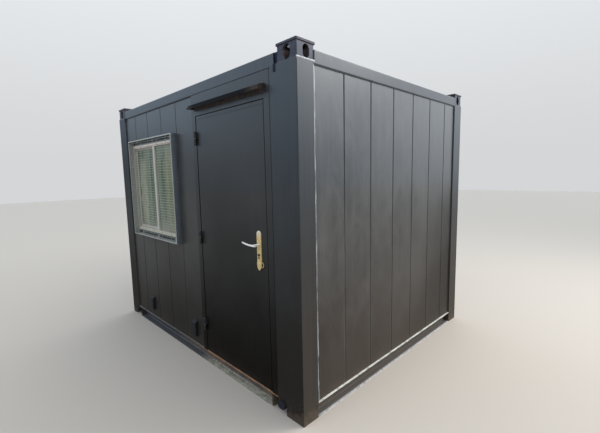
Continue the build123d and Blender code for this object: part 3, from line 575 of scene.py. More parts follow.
def blockMaterial():
    look = blockLook
    material, tree, shader = blankMaterial("block_steel")
    x, y, z = place(tree)
    colour = mixed(patches(tree, 9, 6, 0.65, 0.32, 0.70), look["coat"], look["worn"])
    height = sums("ADD", z, patches(tree, 45, 5, 0.7, 0.25, 0.75, -0.010, 0.010))
    capFoot = cadHigh.z - look["cap"]
    capLine = near(height, capFoot - 0.002, look["rustReach"])
    capTop = ranged(height, capFoot, capFoot + 0.008)
    footLine = ranged(height, postTop, postTop + 0.012, 0.8, 0)
    inner = ranged(z, capFoot, capFoot - 0.006)
    sideways = sums("ABSOLUTE", sums("SUBTRACT", y, (yFront + yRear) / 2))
    for outward, face in ((sums("ABSOLUTE", x), xRight), (sideways, (yRear - yFront) / 2)):
        inner = times(inner, ranged(outward, face - look["wall"][0], face - look["wall"][1]))
    pits = patches(tree, 80, 6, 0.75, 0.52, 0.62)
    rust = most(times(capLine, 0.5), times(capTop, 0.15), footLine, times(inner, 0.9), times(pits, 0.5))
    rust = times(rust, patches(tree, 28, 5, 0.7, 0.30, 0.60))
    colour = mixed(rust, colour, mixed(noiseOf(tree, 90, 5, 0.7), *look["rusts"]))
    heights = [(noiseOf(tree, 60, 5, 0.6), 0.25, 0.0015), (rust, -0.3, 0.0008)]
    dress(shader, colour, ranged(rust, 0, 1, 0.42, 0.85), heights, {"Specular IOR Level": 0.3})
    return material


# Galvanised guard: dull zinc with spangle, white bloom and brown stains, and inner top and bottom plates made
# pale as painted light. The box is painted outside.

guardLook = {
    "zinc": (0.33, 0.34, 0.32), "bright": (0.52, 0.53, 0.49), "paint": (0.098, 0.112, 0.136),
    "bloom": (0.48, 0.47, 0.43), "stain": (0.14, 0.085, 0.050), "plates": (0.80, 0.78, 0.72),
}


def guardMaterial():
    look = guardLook
    material, tree, shader = blankMaterial("galvanised_guard")
    x, y, z = place(tree)
    spangle = put(tree, "TexVoronoi", {"Vector": objectCoords(tree), "Scale": 160}).outputs["Color"]
    spangle = put(tree, "SeparateColor", {0: spangle}).outputs[0]
    colour = mixed(times(spangle, 0.6), look["zinc"], look["bright"])
    bloom = patches(tree, 22, 5, 0.7, 0.52, 0.75)
    colour = mixed(times(bloom, 0.5), colour, look["bloom"])
    stains = patches(tree, (30, 30, 5), 5, 0.7, 0.60, 0.72)
    colour = mixed(times(stains, 0.6), colour, look["stain"])
    # Painted light: the inner top and bottom plates are made pale.
    plates = ranged(sums("ABSOLUTE", facing(tree)["Z"]), 0.6, 0.9)
    plates = times(plates, ranged(y, guardLow.y + 0.008, guardLow.y + 0.010), 0.7)
    colour = mixed(plates, colour, look["plates"])
    edges = ((x, guardHigh.x, -1), (x, guardLow.x, 1), (z, guardHigh.z, -1), (z, guardLow.z, 1))
    sides = most(*(ranged(along, edge + way * 0.0010, edge + way * 0.0004) for along, edge, way in edges))
    sides = times(sides, ranged(y, guardLow.y + 0.002, guardLow.y + 0.004))
    painted = times(sides, patches(tree, 50, 5, 0.7, 0.70, 0.60))
    colour = mixed(painted, colour, look["paint"])
    heights = [(noiseOf(tree, 120, 4, 0.6), 0.15, 0.0008)]
    metal = {"Metallic": ranged(painted, 0, 1, 0.35, 0)}
    dress(shader, colour, ranged(painted, 0, 1, 0.5, 0.36), heights, metal)
    return material


# Cream plastic of the window: a pink cast on the head, lightened as painted light; grime, painted shade where
# it lies deep and on the reveals, and mitred corners

plasticLook = {
    "cream": (0.76, 0.70, 0.62), "warm": (0.95, 0.80, 0.72), "foot": (0.66, 0.60, 0.45),
    "dirtAndShade": (0.20, 0.18, 0.14), "revealShade": (0.13, 0.14, 0.10), "mitre": (0.06, 0.05, 0.04),
    "soiling": 0.88, "bar": 0.030, "sash": 0.026, "lip": 0.004,
}
lightLow = (paneLow.x - plasticLook["sash"], paneLow.z - plasticLook["sash"])
lightHigh = (paneHigh.x, paneHigh.z)


def plasticMaterial():
    look = plasticLook
    material, tree, shader = blankMaterial("cream_plastic")
    x, y, z = place(tree)
    soiled = [channel * look["soiling"] for channel in look["cream"]]
    colour = mixed(patches(tree, 7, 5, 0.6, 0.35, 0.70), look["cream"], soiled)
    # Pink cast on the head, made lighter as painted light against the guard's shade.
    upper = ranged(z, frameHigh.z - look["bar"] - 0.010, frameHigh.z - look["bar"])
    colour = mixed(times(upper, patches(tree, 12, 4, 0.6, 0.3, 0.6, 0.3, 0.9)), colour, look["warm"])
    lower = ranged(z, frameLow.z + look["bar"] + 0.010, frameLow.z + look["bar"])
    colour = mixed(times(lower, 0.7), colour, look["foot"])
    streaks = patches(tree, (60, 60, 3), 4, 0.65, 0.52, 0.74, 0, 0.35)
    grime = most(streaks, patches(tree, 38, 5, 0.7, 0.54, 0.76, 0, 0.4))
    colour = mixed(grime, colour, look["dirtAndShade"])
    away = most(
        sums("SUBTRACT", lightLow[0] - look["lip"], x),
        sums("SUBTRACT", x, lightHigh[0] + look["lip"]),
        sums("SUBTRACT", lightLow[1] - look["lip"], z),
        sums("SUBTRACT", z, lightHigh[1] + look["lip"]),
    )
    # Painted shade: darker where the frame lies deep round the lights, most on the head and foot rails.
    deepShade = times(ranged(away, 0.0, 0.002, 1, 0), ranged(y, frameLow.y + 0.010, frameLow.y + 0.019))
    headRail = ranged(z, lightHigh[1] - 0.034, lightHigh[1] - 0.026)
    rails = most(headRail, ranged(z, lightLow[1] + 0.034, lightLow[1] + 0.026))
    colour = mixed(times(deepShade, ranged(rails, 0, 1, 0.35, 0.85)), colour, look["dirtAndShade"])
    # Painted shade on the reveals that face +X.
    revealShade = times(ranged(facing(tree)["X"], 0.5, 0.9), ranged(x, lightLow[0] + 0.25, lightLow[0] + 0.20))
    colour = mixed(times(revealShade, 0.8), colour, look["revealShade"])
    cornerX, cornerZ = (
        sums("MINIMUM", sums("SUBTRACT", along, low), sums("SUBTRACT", high, along))
        for along, low, high in ((x, frameLow.x, frameHigh.x), (z, frameLow.z, frameHigh.z))
    )
    mitre = near(sums("SUBTRACT", cornerX, cornerZ), 0, 0.0007, 0.6)
    mitre = times(mitre, ranged(cornerX, look["bar"], look["bar"] - 0.004))
    colour = mixed(mitre, colour, look["mitre"])
    heights = [(noiseOf(tree, 300, 2, 0.5), 0.06, 0.0005), (mitre, -0.4, 0.0006)]
    dress(shader, colour, ranged(grime, 0, 1, 0.34, 0.75), heights)
    return material


# Window glass: greenish under a film of dust, with painted reflections of sky and trees in upright bands and
# patches

glassLook = {
    "film": (0.25, 0.30, 0.21), "paleReflection": (0.56, 0.55, 0.38), "oliveReflection": (0.34, 0.34, 0.19),
    "darkGreenReflection": (0.10, 0.17, 0.09), "motes": (0.42, 0.41, 0.35), "foot": (0.30, 0.29, 0.24),
    "clear": (0.80, 0.88, 0.80), "paleReflectionAt": 0.17, "oliveReflectionAt": 0.32,
}


def glassMaterial():
    look = glassLook
    material, tree, shader = blankMaterial("dusty_glass")
    x, y, z = place(tree)
    across = sums("ADD", x, patches(tree, 5, 5, 0.6, 0.25, 0.75, -0.05, 0.05))
    # Painted reflections: upright bands, a pale patch on the left kept off the head, and an olive patch on
    # the right.
    reflectionBands = patches(tree, (9, 1, 1.3), 4, 0.6, 0.36, 0.64, shift=(2.2, 0, 0.4), smooth=True)
    colour = mixed(reflectionBands, look["film"], look["darkGreenReflection"])
    paleReflection = near(across, frameLow.x + look["paleReflectionAt"], 0.095, 0.35)
    paleReflection = times(paleReflection, ranged(z, frameHigh.z - 0.12, frameHigh.z - 0.22))
    paleReflection = times(paleReflection, patches(tree, 16, 5, 0.6, 0.25, 0.6, 0.45, 1), 0.8)
    colour = mixed(paleReflection, colour, look["paleReflection"])
    oliveReflection = near(across, (lightLow[0] + lightHigh[0]) / 2 + look["oliveReflectionAt"], 0.16, 0.4)
    oliveReflection = times(oliveReflection, patches(tree, (7, 1, 3), 4, 0.6, 0.25, 0.55, 0.4, 1), 0.75)
    colour = mixed(oliveReflection, colour, look["oliveReflection"])
    motes = patches(tree, 150, 4, 0.7, 0.52, 0.70, 0, 0.3)
    colour = mixed(motes, colour, look["motes"])
    low = ranged(z, frameLow.z + 0.03, frameLow.z + 0.16, 0.7, 0)
    colour = mixed(low, colour, look["foot"])
    clear = sums("SUBTRACT", patches(tree, 3, 5, 0.6, 0.3, 0.7, 0.40, 0.15), times(low, 0.2))
    values = {"Base Color": look["clear"], "Roughness": 0.04, "IOR": 1.45, "Transmission Weight": 1}
    pane = put(tree, "BsdfPrincipled", values)
    blend = put(tree, "MixShader", {0: clear, 1: shader.outputs["BSDF"], 2: pane.outputs["BSDF"]})
    feed(tree.nodes["Material Output"].inputs["Surface"], blend.outputs["Shader"])
    dress(shader, colour, 0.22, [(noiseOf(tree, 2.5, 2, 0.4), 0.03, 0.01)])
    return material


# Lock plates: tarnished brass, rubbed to silver near the head

brassLook = {
    "brass": (0.88, 0.68, 0.31), "dull": (0.64, 0.48, 0.22), "silver": (0.92, 0.86, 0.74),
    "warm": (0.92, 0.62, 0.26), "grime": (0.07, 0.055, 0.03),
}


def brassMaterial():
    look = brassLook
    material, tree, shader = blankMaterial("worn_brass")
    z = place(tree)["Z"]
    tarnish = patches(tree, 40, 6, 0.7, 0.38, 0.66)
    colour = mixed(tarnish, look["brass"], look["dull"])
    worn = ranged(z, plateHigh.z - 0.060, plateHigh.z - 0.010)
    worn = times(worn, patches(tree, 55, 4, 0.6, 0.30, 0.55, 0.4, 1))
    colour = mixed(worn, colour, look["silver"])
    warm = near(z, plateHigh.z - 0.050, 0.034)
    colour = mixed(times(warm, 0.55), colour, look["warm"])
    grime = patches(tree, 130, 5, 0.75, 0.60, 0.74, 0, 0.6)
    colour = mixed(grime, colour, look["grime"])
    heights = [(noiseOf(tree, (90, 90, 700), 3, 0.5), 0.06, 0.0004)]
    dress(shader, colour, ranged(tarnish, 0, 1, 0.30, 0.48), heights, {"Metallic": 0.5})
    return material


# Floor boards inside: worn vinyl over board, with sheet joints; and white faced ceiling boards

boardLooks = {
    "floor_vinyl": {
        "colours": ((0.17, 0.155, 0.135), (0.24, 0.22, 0.19)), "mottle": (160, 3, 0.8, 0.35, 0.65),
        "marks": (6, 6, 0.7, 0.45, 0.72), "markShift": (0, 0, 0), "markShare": 0.6,
        "markColour": (0.12, 0.09, 0.065), "roughness": (0.40, 0.78),
        "sheet": 1.22, "from": 5, "joint": 0.0018, "jointColour": (0.03, 0.026, 0.022), "sunk": 0.0008,
        "grain": (220, 3, 0.6), "grainHeight": (0.10, 0.0006),
    },
    "ceiling_board": {
        "colours": ((0.66, 0.65, 0.61), (0.56, 0.54, 0.48)), "mottle": (2.2, 5, 0.6, 0.35, 0.7),
        "marks": (3.1, 5, 0.65, 0.62, 0.74), "markShift": (4, 8, 1), "markShare": 0.5,
        "markColour": (0.36, 0.28, 0.18), "roughness": (0.55, 0.55),
        "sheet": 0.61, "from": 6, "joint": 0.0020, "jointColour": (0.20, 0.19, 0.17), "sunk": 0.001,
        "grain": (90, 4, 0.6), "grainHeight": (0.06, 0.0005),
    },
}


def boardMaterial(name):
    look = boardLooks[name]
    material, tree, shader = blankMaterial(name)
    colour = mixed(patches(tree, *look["mottle"]), *look["colours"])
    marks = patches(tree, *look["marks"], shift=look["markShift"])
    colour = mixed(times(marks, look["markShare"]), colour, look["markColour"])
    across = sums("PINGPONG", sums("ADD", place(tree)["X"], look["from"]), look["sheet"] / 2)
    joint = ranged(across, 0.0, look["joint"], 1, 0)
    colour = mixed(joint, colour, look["jointColour"])
    low, high = look["roughness"]
    roughness = low if low == high else ranged(marks, 0, 1, low, high)
    heights = [(noiseOf(tree, *look["grain"]), *look["grainHeight"]), (joint, -0.5, look["sunk"])]
    dress(shader, colour, roughness, heights)
    return material


# Small finishes: the lever's satin, sealant, weld, rubber, zinc screws, rust, and bare steel with a painted
# highlight

smallLooks = {
    "satin_lever": {
        "colours": ((0.88, 0.84, 0.79), (0.96, 0.92, 0.88)), "mottle": (45, 4, 0.6, 0.35, 0.65),
        "flecks": (110, 5, 0.7, 0.62, 0.76, 0, 0.45), "fleckColour": (0.25, 0.23, 0.20),
        "roughness": 0.28, "metallic": 0.05, "grain": ((60, 500, 500), 3, 0.5), "height": (0.05, 0.0004),
    },
    "pale_sealant": {
        "colours": ((0.42, 0.44, 0.46), (0.085, 0.088, 0.092)), "mottle": ((30, 30, 7), 5, 0.65, 0.34, 0.62),
        "flecks": (130, 4, 0.7, 0.60, 0.70, 0, 0.5), "fleckColour": (0.07, 0.075, 0.08),
        "cleanAbove": (1.7, 2.25, 1, 0.35),
        "roughness": 0.55, "grain": (220, 4, 0.6), "height": (0.3, 0.0008),
    },
    "painted_weld": {
        "colours": ((0.026, 0.029, 0.034), (0.13, 0.13, 0.135)), "mottle": (30, 5, 0.7, 0.40, 0.68),
        "flecks": (75, 5, 0.75, 0.58, 0.66), "fleckRust": 90, "fleckRoughness": (0.36, 0.8),
        "grain": (160, 4, 0.6), "height": (0.3, 0.001),
    },
    "black_rubber": {
        "colours": ((0.014, 0.017, 0.019), (0.044, 0.046, 0.046)), "mottle": (35, 5, 0.7, 0.4, 0.7),
        "roughness": 0.7, "grain": (300, 3, 0.6), "height": (0.15, 0.0005),
    },
    "zinc_screw": {
        "colours": ((0.34, 0.33, 0.30), (0.16, 0.11, 0.07)), "mottle": (90, 5, 0.7, 0.4, 0.65),
        "roughness": 0.45, "metallic": 0.7, "grain": (400, 3, 0.6), "height": (0.2, 0.0004),
    },
    "brown_rust": {
        "colours": rustShades, "mottle": (70, 5, 0.7, 0.35, 0.7),
        "roughness": 0.85, "grain": (120, 5, 0.7), "height": (0.5, 0.0015),
    },
    "worn_pale_steel_and_highlight": {
        "colours": ((0.42, 0.43, 0.44), (0.22, 0.22, 0.225)), "mottle": (60, 5, 0.7, 0.42, 0.68),
        "roughPatches": (25, 4, 0.6, 0.3, 0.7, 0.35, 0.6), "metallic": 0.15,
        "grain": (180, 4, 0.6), "height": (0.25, 0.0007),
    },
}


def smallMaterial(name):
    look = smallLooks[name]
    material, tree, shader = blankMaterial(name)
    mottle = patches(tree, *look["mottle"])
    if "cleanAbove" in look:
        mottle = times(mottle, ranged(place(tree)["Z"], *look["cleanAbove"], smooth=True))
    colour = mixed(mottle, *look["colours"])
    roughness = look.get("roughness")
    if "roughPatches" in look:
        roughness = patches(tree, *look["roughPatches"])
    if "flecks" in look:
        flecks = patches(tree, *look["flecks"])
        fleckColour = look.get("fleckColour") or rustColour(tree, look["fleckRust"])
        colour = mixed(flecks, colour, fleckColour)
        if "fleckRoughness" in look:
            roughness = ranged(flecks, 0, 1, *look["fleckRoughness"])
    heights = [(noiseOf(tree, *look["grain"]), *look["height"])]
    dress(shader, colour, roughness, heights, {"Metallic": look.get("metallic", 0)})
    return material


creamPlastic = plasticMaterial()
wornBrass = brassMaterial()
galvanised = guardMaterial()
small = {name: smallMaterial(name) for name in smallLooks}

nodeFinishes = (
    (paints["frame_paint"], ("corner_post",)),
    (paints["top_rail_paint"], ("top_rail",)),
    (paints["base_rail_paint"], ("base_rail", "door_threshold")),
    (paints["primer_paint"], ("floor_joists", "roof_bearers")),
    (paints["wall_paint"], ("right_wall", "left_wall", "rear_wall")),
    (paints["door_wall_paint"], ("front_wall",)),
    (paints["door_paint"], ("door_leaf", "door_jamb", "door_head")),
    (paints["roof_paint"], ("roof_sheet",)),
    (paints["hood_paint"], ("rain_hood",)),
    (paints["vent_paint"], ("low_vents",)),
    (paints["lug_paint"], ("lashing_lugs",)),
    (paints["hinge_black"], ("hinge",)),
    (blockMaterial(), ("lifting_block",)),
    (galvanised, ("window_guard",)),
    (creamPlastic, ("window_frame", "sliding_sash")),
    (glassMaterial(), ("window_glass",)),
    (wornBrass, ("outer_backplate", "inner_backplate", "lock_cylinder", "cylinder_cover")),
    (small["satin_lever"], ("lever_handle",)),
    (boardMaterial("floor_vinyl"), ("floor_deck",)),
    (boardMaterial("ceiling_board"), ("ceiling_boards",)),
)
for nodeName, node in cadNodes.items():
    chosen = next(material for material, starts in nodeFinishes if nodeName.startswith(starts))
    node.data.materials.clear()
    node.data.materials.append(chosen)
print("materials made and given to the nodes")


# Window guard: a box folded from sheet with its rim turned in, and a welded mesh of round wires

guardBox = {
    "sheet": 0.0026, "rim": 0.011, "edge": 0.0007, "wire": 0.0016, "pitch": 0.0254, "uprightPitch": 0.200,
    "bow": 0.0022, "wireInset": 0.6, "sunk": 0.92, "knotSize": 1.5, "knotShape": (1.25, 0.7, 1.0),
    "tabInset": 0.12, "tabHalf": 0.016, "tabHeight": 0.030, "tabSheet": 0.003,
    "boltAt": 0.018, "boltRadius": 0.0065, "boltTop": 0.0075, "fittingEdge": 0.0006,
}
guardMiddle = (guardLow + guardHigh) / 2
guardInner = guardHigh - guardLow - 2 * Vector((guardBox["rim"],) * 3)


def isMeshFace(centre, normal):
    return normal.y < -0.9 and abs(centre.x - guardMiddle.x) < 0.3 and abs(centre.z - guardMiddle.z) < 0.3


shell = block(guardLow, guardHigh)
reshape(shell, "FACE", lambda centre, normal: normal.y > 0.9, bpy.ops.mesh.delete, type="FACE")
reshape(shell, "FACE", lambda centre, normal: normal.y < -0.9, bpy.ops.mesh.inset, thickness=guardBox["rim"])
reshape(shell, "FACE", isMeshFace, bpy.ops.mesh.delete, type="FACE")
useModifier(shell, "SOLIDIFY", thickness=guardBox["sheet"], offset=-1)
roundEdges(shell, guardBox["edge"])

wire = guardBox["wire"]
wireY = guardLow.y + guardBox["sheet"] + wire
backY = wireY + 2 * wire * guardBox["sunk"]
wireInset = guardBox["sheet"] * guardBox["wireInset"]
crossCount = int(guardInner.z / guardBox["pitch"])
crossFoot = guardMiddle.z - (crossCount - 1) * guardBox["pitch"] / 2
uprightCount = int(guardInner.x / guardBox["uprightPitch"])
uprightLeft = guardMiddle.x - (uprightCount - 1) * guardBox["uprightPitch"] / 2
crossEnds = ((x, wireY, crossFoot) for x in (guardLow.x + wireInset, guardHigh.x - wireInset))
crossWire = bar(*crossEnds, wire, 8)
reshape(crossWire, "EDGE", lambda along: abs(along.x) > 0.9, bpy.ops.mesh.subdivide, number_cuts=14)
bpy.ops.object.shade_smooth()
guardPieces = [shell]
for n in range(crossCount):
    bowed = copyOf(crossWire, (0, 0, n * guardBox["pitch"]))
    for spot in bowed.data.vertices:
        ripple = math.sin(spot.co.x * 11 + n * 1.7) * math.sin(spot.co.x * 3.1 + n)
        spot.co.z += guardBox["bow"] * 0.5 * ripple
    guardPieces.append(bowed)
knotAt = (uprightLeft, (wireY + backY) / 2, crossFoot)
knotRadius = wire * guardBox["knotSize"]
knot = addShape("ico_sphere", knotAt, guardBox["knotShape"], subdivisions=1, radius=knotRadius)
for m in range(uprightCount):
    x = uprightLeft + m * guardBox["uprightPitch"]
    uprightEnds = ((x, backY, z) for z in (guardLow.z + wireInset, guardHigh.z - wireInset))
    guardPieces.append(bar(*uprightEnds, wire, 8))
    bpy.ops.object.shade_smooth()
    for n in range(crossCount):
        guardPieces.append(copyOf(knot, (m * guardBox["uprightPitch"], 0, n * guardBox["pitch"])))
bpy.data.objects.remove(crossWire)
bpy.data.objects.remove(knot)

tabHalf, fittingEdge = guardBox["tabHalf"], guardBox["fittingEdge"]
tabY = guardHigh.y - guardBox["tabSheet"]
boltY = guardHigh.y - guardBox["boltTop"]
for x in (guardLow.x + guardBox["tabInset"], guardMiddle.x, guardHigh.x - guardBox["tabInset"]):
    for edgeZ, inward in ((guardLow.z, 1), (guardHigh.z, -1)):
        low, high = sorted((edgeZ, edgeZ + inward * guardBox["tabHeight"]))
        tab = roundedBlock((x - tabHalf, tabY, low), (x + tabHalf, guardHigh.y, high), fittingEdge)
        z = edgeZ + inward * guardBox["boltAt"]
        bolt = bar((x, boltY, z), (x, tabY, z), guardBox["boltRadius"], 6)
        roundEdges(bolt, fittingEdge)
        guardPieces += [tab, bolt]
guard = finish(joinPieces(guardPieces), "guard_box_and_mesh", "cabin", galvanised)
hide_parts("window_guard")
print("window guard made")

# Beads of sealant and weld: a half-round run laid into a corner, lumpy along its length


def bead(name, start, end, material, slotName, radius, lump, step=0.012, size=0.03):
    run = bar(start, end, radius, 8)
    way = Vector(end) - Vector(start)
    cuts = max(2, int(way.length / step))
    way.normalize()
    reshape(run, "EDGE", lambda along: abs(along.dot(way)) > 0.9, bpy.ops.mesh.subdivide, number_cuts=cuts)
    roughen(run, size, lump)
    pick(run)
    bpy.ops.object.shade_smooth()
    return finish(run, name, "cabin", material)


sealant, rubber = small["pale_sealant"], small["black_rubber"]
sealLook = {
    "near": {"radius": 0.0078, "lump": 0.0034, "step": 0.006, "size": 0.045}, "nearAt": (0.0024, 0.0046),
    "foot": 0.108, "head": 2.309, "wander": 0.0016,
    "corner": {"radius": 0.0040, "lump": 0.0020, "step": 0.02}, "cornerFoot": 0.118, "lift": 0.001,
    "jamb": {"radius": 0.0035, "lump": 0.0018, "step": 0.02}, "jambEnds": (0.110, 2.306),
    "window": {"radius": 0.0038, "lump": 0.0022, "step": 0.02}, "windowLift": 0.0012,
    "fillet": {"radius": 0.0034, "lump": 0.0010, "step": 0.03, "size": 0.08}, "filletEnds": (0.112, 2.305),
    "filletAt": 0.0026,
}
wallX = rightWallHigh.x
seamX = wallX + sealLook["nearAt"][0]
seamY = rightWallLow.y + sealLook["nearAt"][1]
nearEnds = ((seamX, seamY, z) for z in (sealLook["foot"], sealLook["head"]))
nearSeal = bead("seal_near_post", *nearEnds, sealant, "frame_steel", **sealLook["near"])
for spot in nearSeal.data.vertices:
    spot.co.y += sealLook["wander"] * (math.sin(spot.co.z * 13) + 0.6 * math.sin(spot.co.z * 37 + 1.3))

smearLook = {"thickness": 0.0016, "out": 0.0006, "from": 0.012, "size": 0.02, "lump": 0.0016}
smears = []
for height, length, width in (
    (2.22, 0.16, 0.007), (2.02, 0.09, 0.006), (1.61, 0.05, 0.005), (1.18, 0.12, 0.006),
    (0.86, 0.045, 0.005), (0.62, 0.08, 0.006), (0.47, 0.10, 0.007), (0.23, 0.05, 0.006),
):
    middle = (wallX + smearLook["out"], rightWallLow.y + smearLook["from"] + width * 0.5, height)
    shape = (smearLook["thickness"], width, length / 2)
    smear = addShape("uv_sphere", middle, shape, segments=14, ring_count=8, radius=1)
    roughen(smear, smearLook["size"], smearLook["lump"])
    bpy.ops.object.shade_smooth()
    smears.append(smear)
finish(joinPieces(smears), "seal_smears", "cabin", sealant)

lift = sealLook["lift"]
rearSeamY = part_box("rear_wall")[1].y + lift
cornerSeams = {
    "seal_far_post": (-wallX - lift, rightWallLow.y + lift),
    "seal_rear_right": (wallX + lift, rightWallHigh.y - lift),
    "seal_rear_left": (-wallX - lift, rightWallHigh.y - lift),
    "seal_rear_wall_right": (rearPostLow.x - lift, rearSeamY),
    "seal_rear_wall_left": (-rearPostLow.x + lift, rearSeamY),
    "seal_front_left_post": (farPostHigh.x + lift, frontWallLow.y - lift),
}
for seamName, spot in cornerSeams.items():
    seamEnds = ((*spot, z) for z in (sealLook["cornerFoot"], sealLook["head"]))
    bead(seamName, *seamEnds, rubber, "frame_steel", **sealLook["corner"])
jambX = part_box("door_jamb_hinge_side")[0].x - lift
jambEnds = ((jambX, frontWallLow.y - lift, z) for z in sealLook["jambEnds"])
bead("seal_hinge_jamb", *jambEnds, rubber, "door_steel", **sealLook["jamb"])
for side, start, end in (
    ("foot", frameLow, (frameHigh.x, 0, frameLow.z)),
    ("head", (frameLow.x, 0, frameHigh.z), frameHigh),
    ("left", frameLow, (frameLow.x, 0, frameHigh.z)),
    ("right", (frameHigh.x, 0, frameLow.z), frameHigh),
):
    windowEnds = ((x, frontWallLow.y - sealLook["windowLift"], z) for x, y, z in (start, end))
    bead("seal_window_" + side, *windowEnds, sealant, "window_plastic", **sealLook["window"])
filletEnds = ((nearPostLow.x, yFront + sealLook["filletAt"], z) for z in sealLook["filletEnds"])
bead("fillet_latch_jamb", *filletEnds, paints["frame_paint"], "frame_steel", **sealLook["fillet"])
print("seals laid")

# Weld beads round the lifting blocks and at the ends of the front rail

weldLook = {
    "block": {"radius": 0.0034, "lump": 0.0022}, "rail": {"radius": 0.0056, "lump": 0.0012},
    "front": {"radius": 0.003, "lump": 0.002}, "fine": {"step": 0.005, "size": 0.012},
    "inset": 0.0049, "alongX": 0.168, "alongY": 0.148, "lift": 0.0008, "railAt": (0.0014, 0.0017),
    "railFoot": 0.004, "railHead": 0.048, "frontEnds": (0.004, 0.058), "frontLift": 0.0005,
}
weld, fine = small["painted_weld"], weldLook["fine"]
corners = ("front_right", "front_left", "rear_right", "rear_left")
for index, corner in enumerate(corners):
    low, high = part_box("lifting_block_" + corner)
    sideX = 1 if high.x > 0 else -1
    sideY = 1 if high.y > 0 else -1
    outerX = (high.x if sideX > 0 else low.x) - sideX * weldLook["inset"]
    outerY = (high.y if sideY > 0 else low.y) - sideY * weldLook["inset"]
    innerX = outerX - sideX * weldLook["alongX"]
    innerY = outerY - sideY * weldLook["alongY"]
    z = postTop + weldLook["lift"]
    for side, spot in (("side", (outerX, innerY, z)), ("end", (innerX, outerY, z))):
        if index or side == "end":
            name = f"weld_block_{side}_{index}"
            bead(name, (outerX, outerY, z), spot, weld, "block_steel", **weldLook["block"], **fine)
    railX = outerX - sideX * weldLook["railAt"][0]
    railY = innerY - sideY * weldLook["railAt"][1]
    name = f"weld_rail_side_{index}"
    ends = ((railX, railY, z) for z in (postTop + weldLook["railFoot"], cadHigh.z - weldLook["railHead"]))
    bead(name, *ends, paints["frame_paint"], "block_steel", **weldLook["rail"], **fine)
railFrontLow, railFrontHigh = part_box("top_rail_front")
for index, x in enumerate((railFrontLow.x, railFrontHigh.x)):
    frontEnds = ((x, yFront + y, postTop + weldLook["frontLift"]) for y in weldLook["frontEnds"])
    bead(f"weld_front_rail_{index}", *frontEnds, weld, "frame_steel", **weldLook["front"], **fine)

# Bright lip beside the near block, worn bare and also a painted highlight; filler plates between the blocks
# and the rails

lipLook = {
    "width": 0.0065, "inset": 0.0004, "along": (0.002, 0.172), "height": (-0.0004, 0.0098),
    "edge": 0.0016, "size": 0.018, "lump": 0.0010,
}
# The lip's pale steel is partly bare wear and partly a painted highlight on the plate's edge.
lipEnds = (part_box("lifting_block_front_right")[1].x - lipLook["width"], xRight - lipLook["inset"])
lip = block(*zip(lipEnds, span(yFront, lipLook["along"]), span(postTop, lipLook["height"])))
reshape(lip, "EDGE", lambda along: abs(along.y) > 0.9, bpy.ops.mesh.subdivide, number_cuts=40)
roundEdges(lip, lipLook["edge"])
roughen(lip, lipLook["size"], lipLook["lump"])
finish(lip, "worn_lip_and_highlight", "cabin", small["worn_pale_steel_and_highlight"])

fillLook = {
    "gap": 0.0275, "lap": 0.001, "gapDepth": (0.009, 0.013), "gapEdge": 0.0005,
    "coverX": (-0.006, -0.009), "coverDepth": (-0.0009, 0.0004), "coverHeight": (-0.046, 0.004),
    "foot": (0.0002, 0.0004), "head": 0.0006,
    "fillX": (0.040, 0.0004), "fillY": (0.0006, -0.0155), "fillEdge": 0.0006,
}
railTop = railFrontHigh.z - fillLook["head"]
gapPlates = []
for sideX in (1, -1):
    railEnd = sideX * railFrontHigh.x
    low, high = sorted((railEnd - sideX * fillLook["lap"], railEnd + sideX * fillLook["gap"]))
    gapY, coverY = span(yFront, fillLook["gapDepth"]), span(yFront, fillLook["coverDepth"])
    gapEnds = zip((low, high), gapY, (postTop + fillLook["foot"][0], railTop))
    gapPlates.append(roundedBlock(*gapEnds, fillLook["gapEdge"]))
    coverX = (low + fillLook["coverX"][0], high + fillLook["coverX"][1])
    coverEnds = zip(coverX, coverY, span(postTop, fillLook["coverHeight"]))
    gapPlates.append(roundedBlock(*coverEnds, fillLook["gapEdge"]))
finish(joinPieces(gapPlates), "rail_gap_plates", "cabin", paints["navy_paint"])

railFills = []
railSides = [box.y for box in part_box("top_rail_right")]
for sideX in (1, -1):
    for sideY, edgeY in zip((-1, 1), railSides):
        fillX = sorted(sideX * (xRight - inset) for inset in fillLook["fillX"])
        fillY = sorted(edgeY + sideY * shift for shift in fillLook["fillY"])
        fillEnds = zip(fillX, fillY, (postTop + fillLook["foot"][1], railTop))
        railFills.append(roundedBlock(*fillEnds, fillLook["fillEdge"]))
finish(joinPieces(railFills), "rail_end_fills", "cabin", paints["frame_paint"])
print("welds laid")

# Door: rubber seal on the stops, the lock's edge plate with latch and bolt, and its keeper

ringLook = {
    "width": 0.010, "side": 0.001, "behind": (0.0012, 0.005), "foot": 0.012, "head": 0.0015, "edge": 0.0012,
}
leafMiddle = (leafLow + leafHigh) / 2
ringX = (leafLow.x + ringLook["side"], leafHigh.x - ringLook["side"])
ringZ = (leafLow.z + ringLook["foot"], leafHigh.z + ringLook["head"])
sealRing = block(*zip(ringX, span(leafHigh.y, ringLook["behind"]), ringZ))


def isRingSide(centre, normal):
    return abs(normal.y) > 0.9


def isRingMiddle(centre, normal):
    away = centre - leafMiddle
    return isRingSide(centre, normal) and abs(away.x) < 0.2 and abs(away.z) < 0.4


reshape(sealRing, "FACE", isRingSide, bpy.ops.mesh.inset, thickness=ringLook["width"])
reshape(sealRing, "FACE", isRingMiddle, bpy.ops.mesh.bridge_edge_loops)
roundEdges(sealRing, ringLook["edge"])
finish(sealRing, "door_seal", "cabin", rubber)

